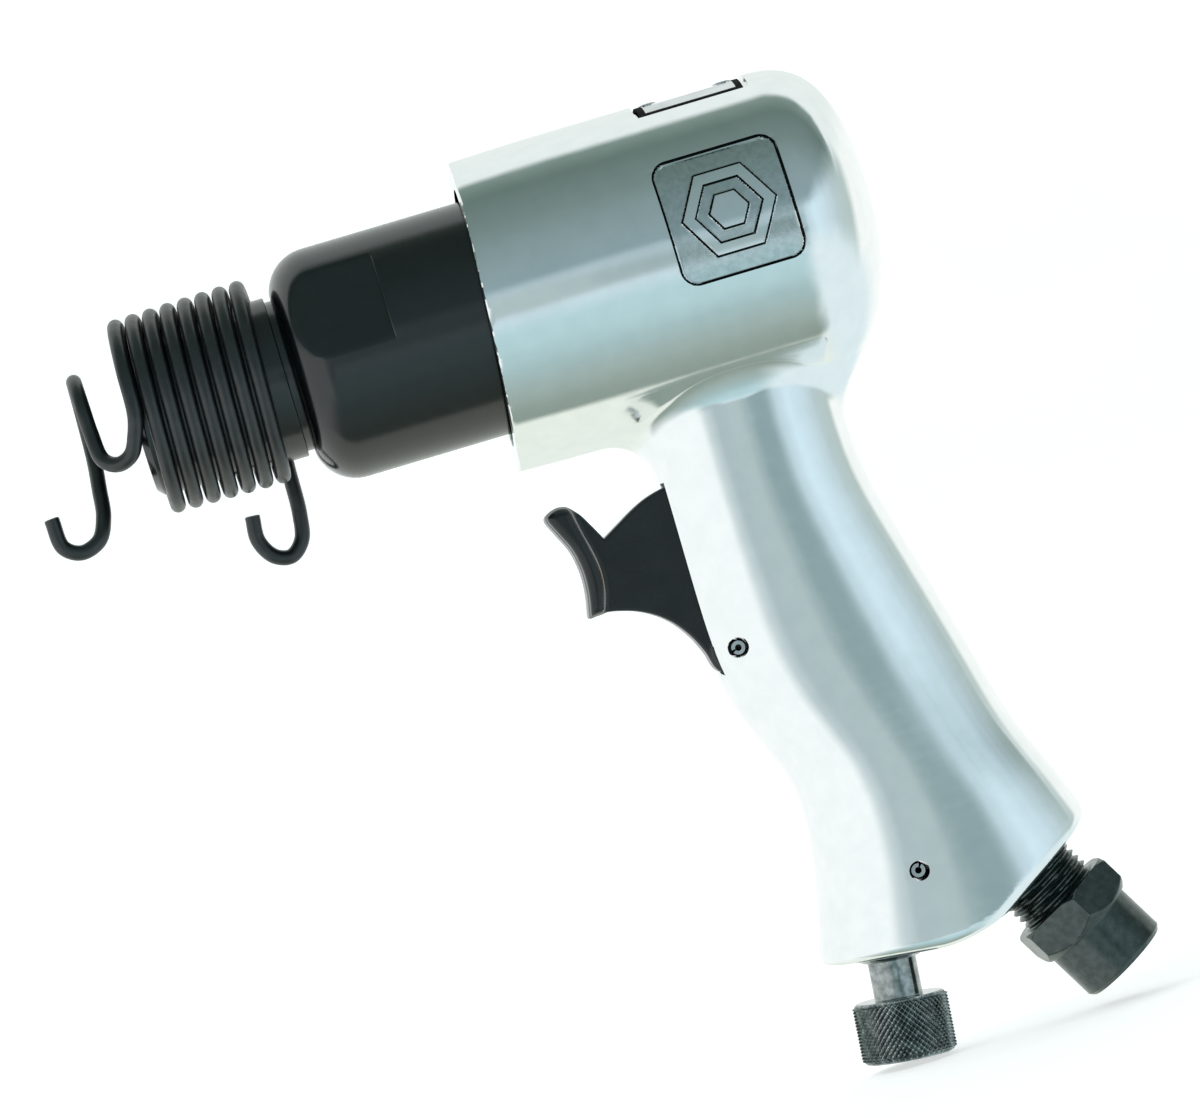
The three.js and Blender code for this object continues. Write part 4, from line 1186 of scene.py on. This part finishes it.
def make_world():
    """A studio that a polished surface shows as soft bands."""
    world = bpy.data.worlds.new("studio")
    bpy.context.scene.world = world
    world.use_nodes = True
    tree = world.node_tree

    def node(kind, *sources, **settings):
        made = tree.nodes.new(kind)
        for key, value in settings.items():
            setattr(made, key, value)
        for socket, source in zip(made.inputs, sources):
            if isinstance(source, bpy.types.NodeSocket):
                tree.links.new(source, socket)
            elif source is not None:
                socket.default_value = source
        return made

    def maths(operation, *sources):
        return node("ShaderNodeMath", *sources, operation=operation).outputs[0]

    def fade(value, start, end):
        made = node("ShaderNodeMapRange", value, start, end, interpolation_type="SMOOTHSTEP")
        return made.outputs["Result"]

    direction = node("ShaderNodeTexCoord").outputs["Generated"]
    sway = node("ShaderNodeTexNoise", direction)
    sway.inputs["Scale"].default_value = 2.2
    sway.inputs["Detail"].default_value = 3
    centred = node("ShaderNodeVectorMath", sway.outputs["Color"], (0.5, 0.5, 0.5), operation="SUBTRACT")
    small = node("ShaderNodeVectorMath", centred.outputs[0], (0.22, 0.22, 0.22), operation="MULTIPLY")
    swayed = node("ShaderNodeVectorMath", direction, small.outputs[0], operation="ADD")
    x, y, z = node("ShaderNodeSeparateXYZ", swayed.outputs[0]).outputs
    toward = maths("MULTIPLY", y, -1.0)

    def band(side, stops):
        angle = maths("ARCTAN2", side, toward)
        share = maths("MULTIPLY_ADD", angle, 1 / (2 * math.pi), 0.5)
        ramp = node("ShaderNodeValToRGB", share)
        elements = ramp.color_ramp.elements
        elements.remove(elements[1])
        elements[0].position = 0
        for i, (degrees, *colour) in enumerate(stops):
            stop = elements[0] if i == 0 else elements.new(degrees / 360 + 0.5)
            stop.color = (*colour, 1)
        return ramp.outputs["Color"]

    spread = maths("SQRT", maths("ADD", maths("MULTIPLY", x, x), maths("MULTIPLY", z, z)))
    rise = maths("DIVIDE", z, maths("MAXIMUM", spread, 0.001))
    share = maths("MAXIMUM", fade(rise, 0.15, 0.5), fade(rise, -0.6, -0.95))
    mix = node("ShaderNodeMixRGB", maths("MULTIPLY", share, fade(spread, 0.06, 0.2)))
    tree.links.new(band(x, ROUND_LEFT_AND_RIGHT), mix.inputs["Color1"])
    tree.links.new(band(z, ROUND_UP_AND_DOWN), mix.inputs["Color2"])
    low_panel = maths("MULTIPLY", fade(x, 0.1, 0.42), fade(z, -0.1, -0.42))
    lit = node("ShaderNodeMixRGB", low_panel, mix.outputs["Color"], (*LOW_RIGHT_PANEL, 1))
    tree.links.new(lit.outputs["Color"], tree.nodes["Background"].inputs["Color"])
    tree.nodes["Background"].inputs["Strength"].default_value = 1.0


def make_lights():
    """One large soft light above, in front and to the left, which the metal doesn't mirror."""
    data = bpy.data.lights.new("key_softbox", "AREA")
    data.shape = "RECTANGLE"
    data.size, data.size_y = 0.9, 0.9
    data.energy = 6
    light = new_object("key_softbox", data)
    light.location = (-0.9, -0.5, 1.1)
    light.rotation_euler = (-light.location).to_track_quat("-Z", "Y").to_euler()
    light.visible_glossy = False


# ---- the whole picture ----


def assign_materials():
    """Gives every piece and every CAD node that still shows the material of its slot."""
    looks = {name: grained(*values) for name, values in GRAINED.items()}
    looks["cast_aluminium"] = polished_aluminium()
    looks["black_steel"] = black_oxide()
    looks["plate"] = satin_plate()
    slots = {row["node"]: row["material_slot"] for row in frame["record"]["subparts"]}
    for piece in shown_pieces():
        slot = piece.get("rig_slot") or slots[piece["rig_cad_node"]]
        marks = [face.material_index for face in piece.data.polygons]
        piece.data.materials.clear()
        piece.data.materials.append(looks["knurled" if piece.name == "regulator_knob" else slot])
        if any(marks):
            # The black paint and the darker cast skin paint shade into the faces marked for them.
            piece.data.materials.append(looks["painted_shade_black"])
            piece.data.materials.append(looks["cast_skin_and_shade"])
            piece.data.polygons.foreach_set("material_index", marks)


make_housing()
make_badge_panel()
make_barrel()
make_spring()
trigger = make_trigger()
trigger.visible_glossy = False
make_roll_pin("trigger_roll_pin", PIN_X, PIN_Z, TRIGGER_PIN_HALF, 200, "trigger_pin")
valve_pin = regulator_pin_centre()
make_roll_pin("regulator_roll_pin", valve_pin[0], valve_pin[2], REGULATOR_PIN_HALF, 60, "regulator_pin")
make_regulator()
make_inlet()
make_nameplate()
assign_materials()
make_floor()
make_world()
make_lights()
bpy.context.scene.view_settings.view_transform = "Standard"
make_camera()
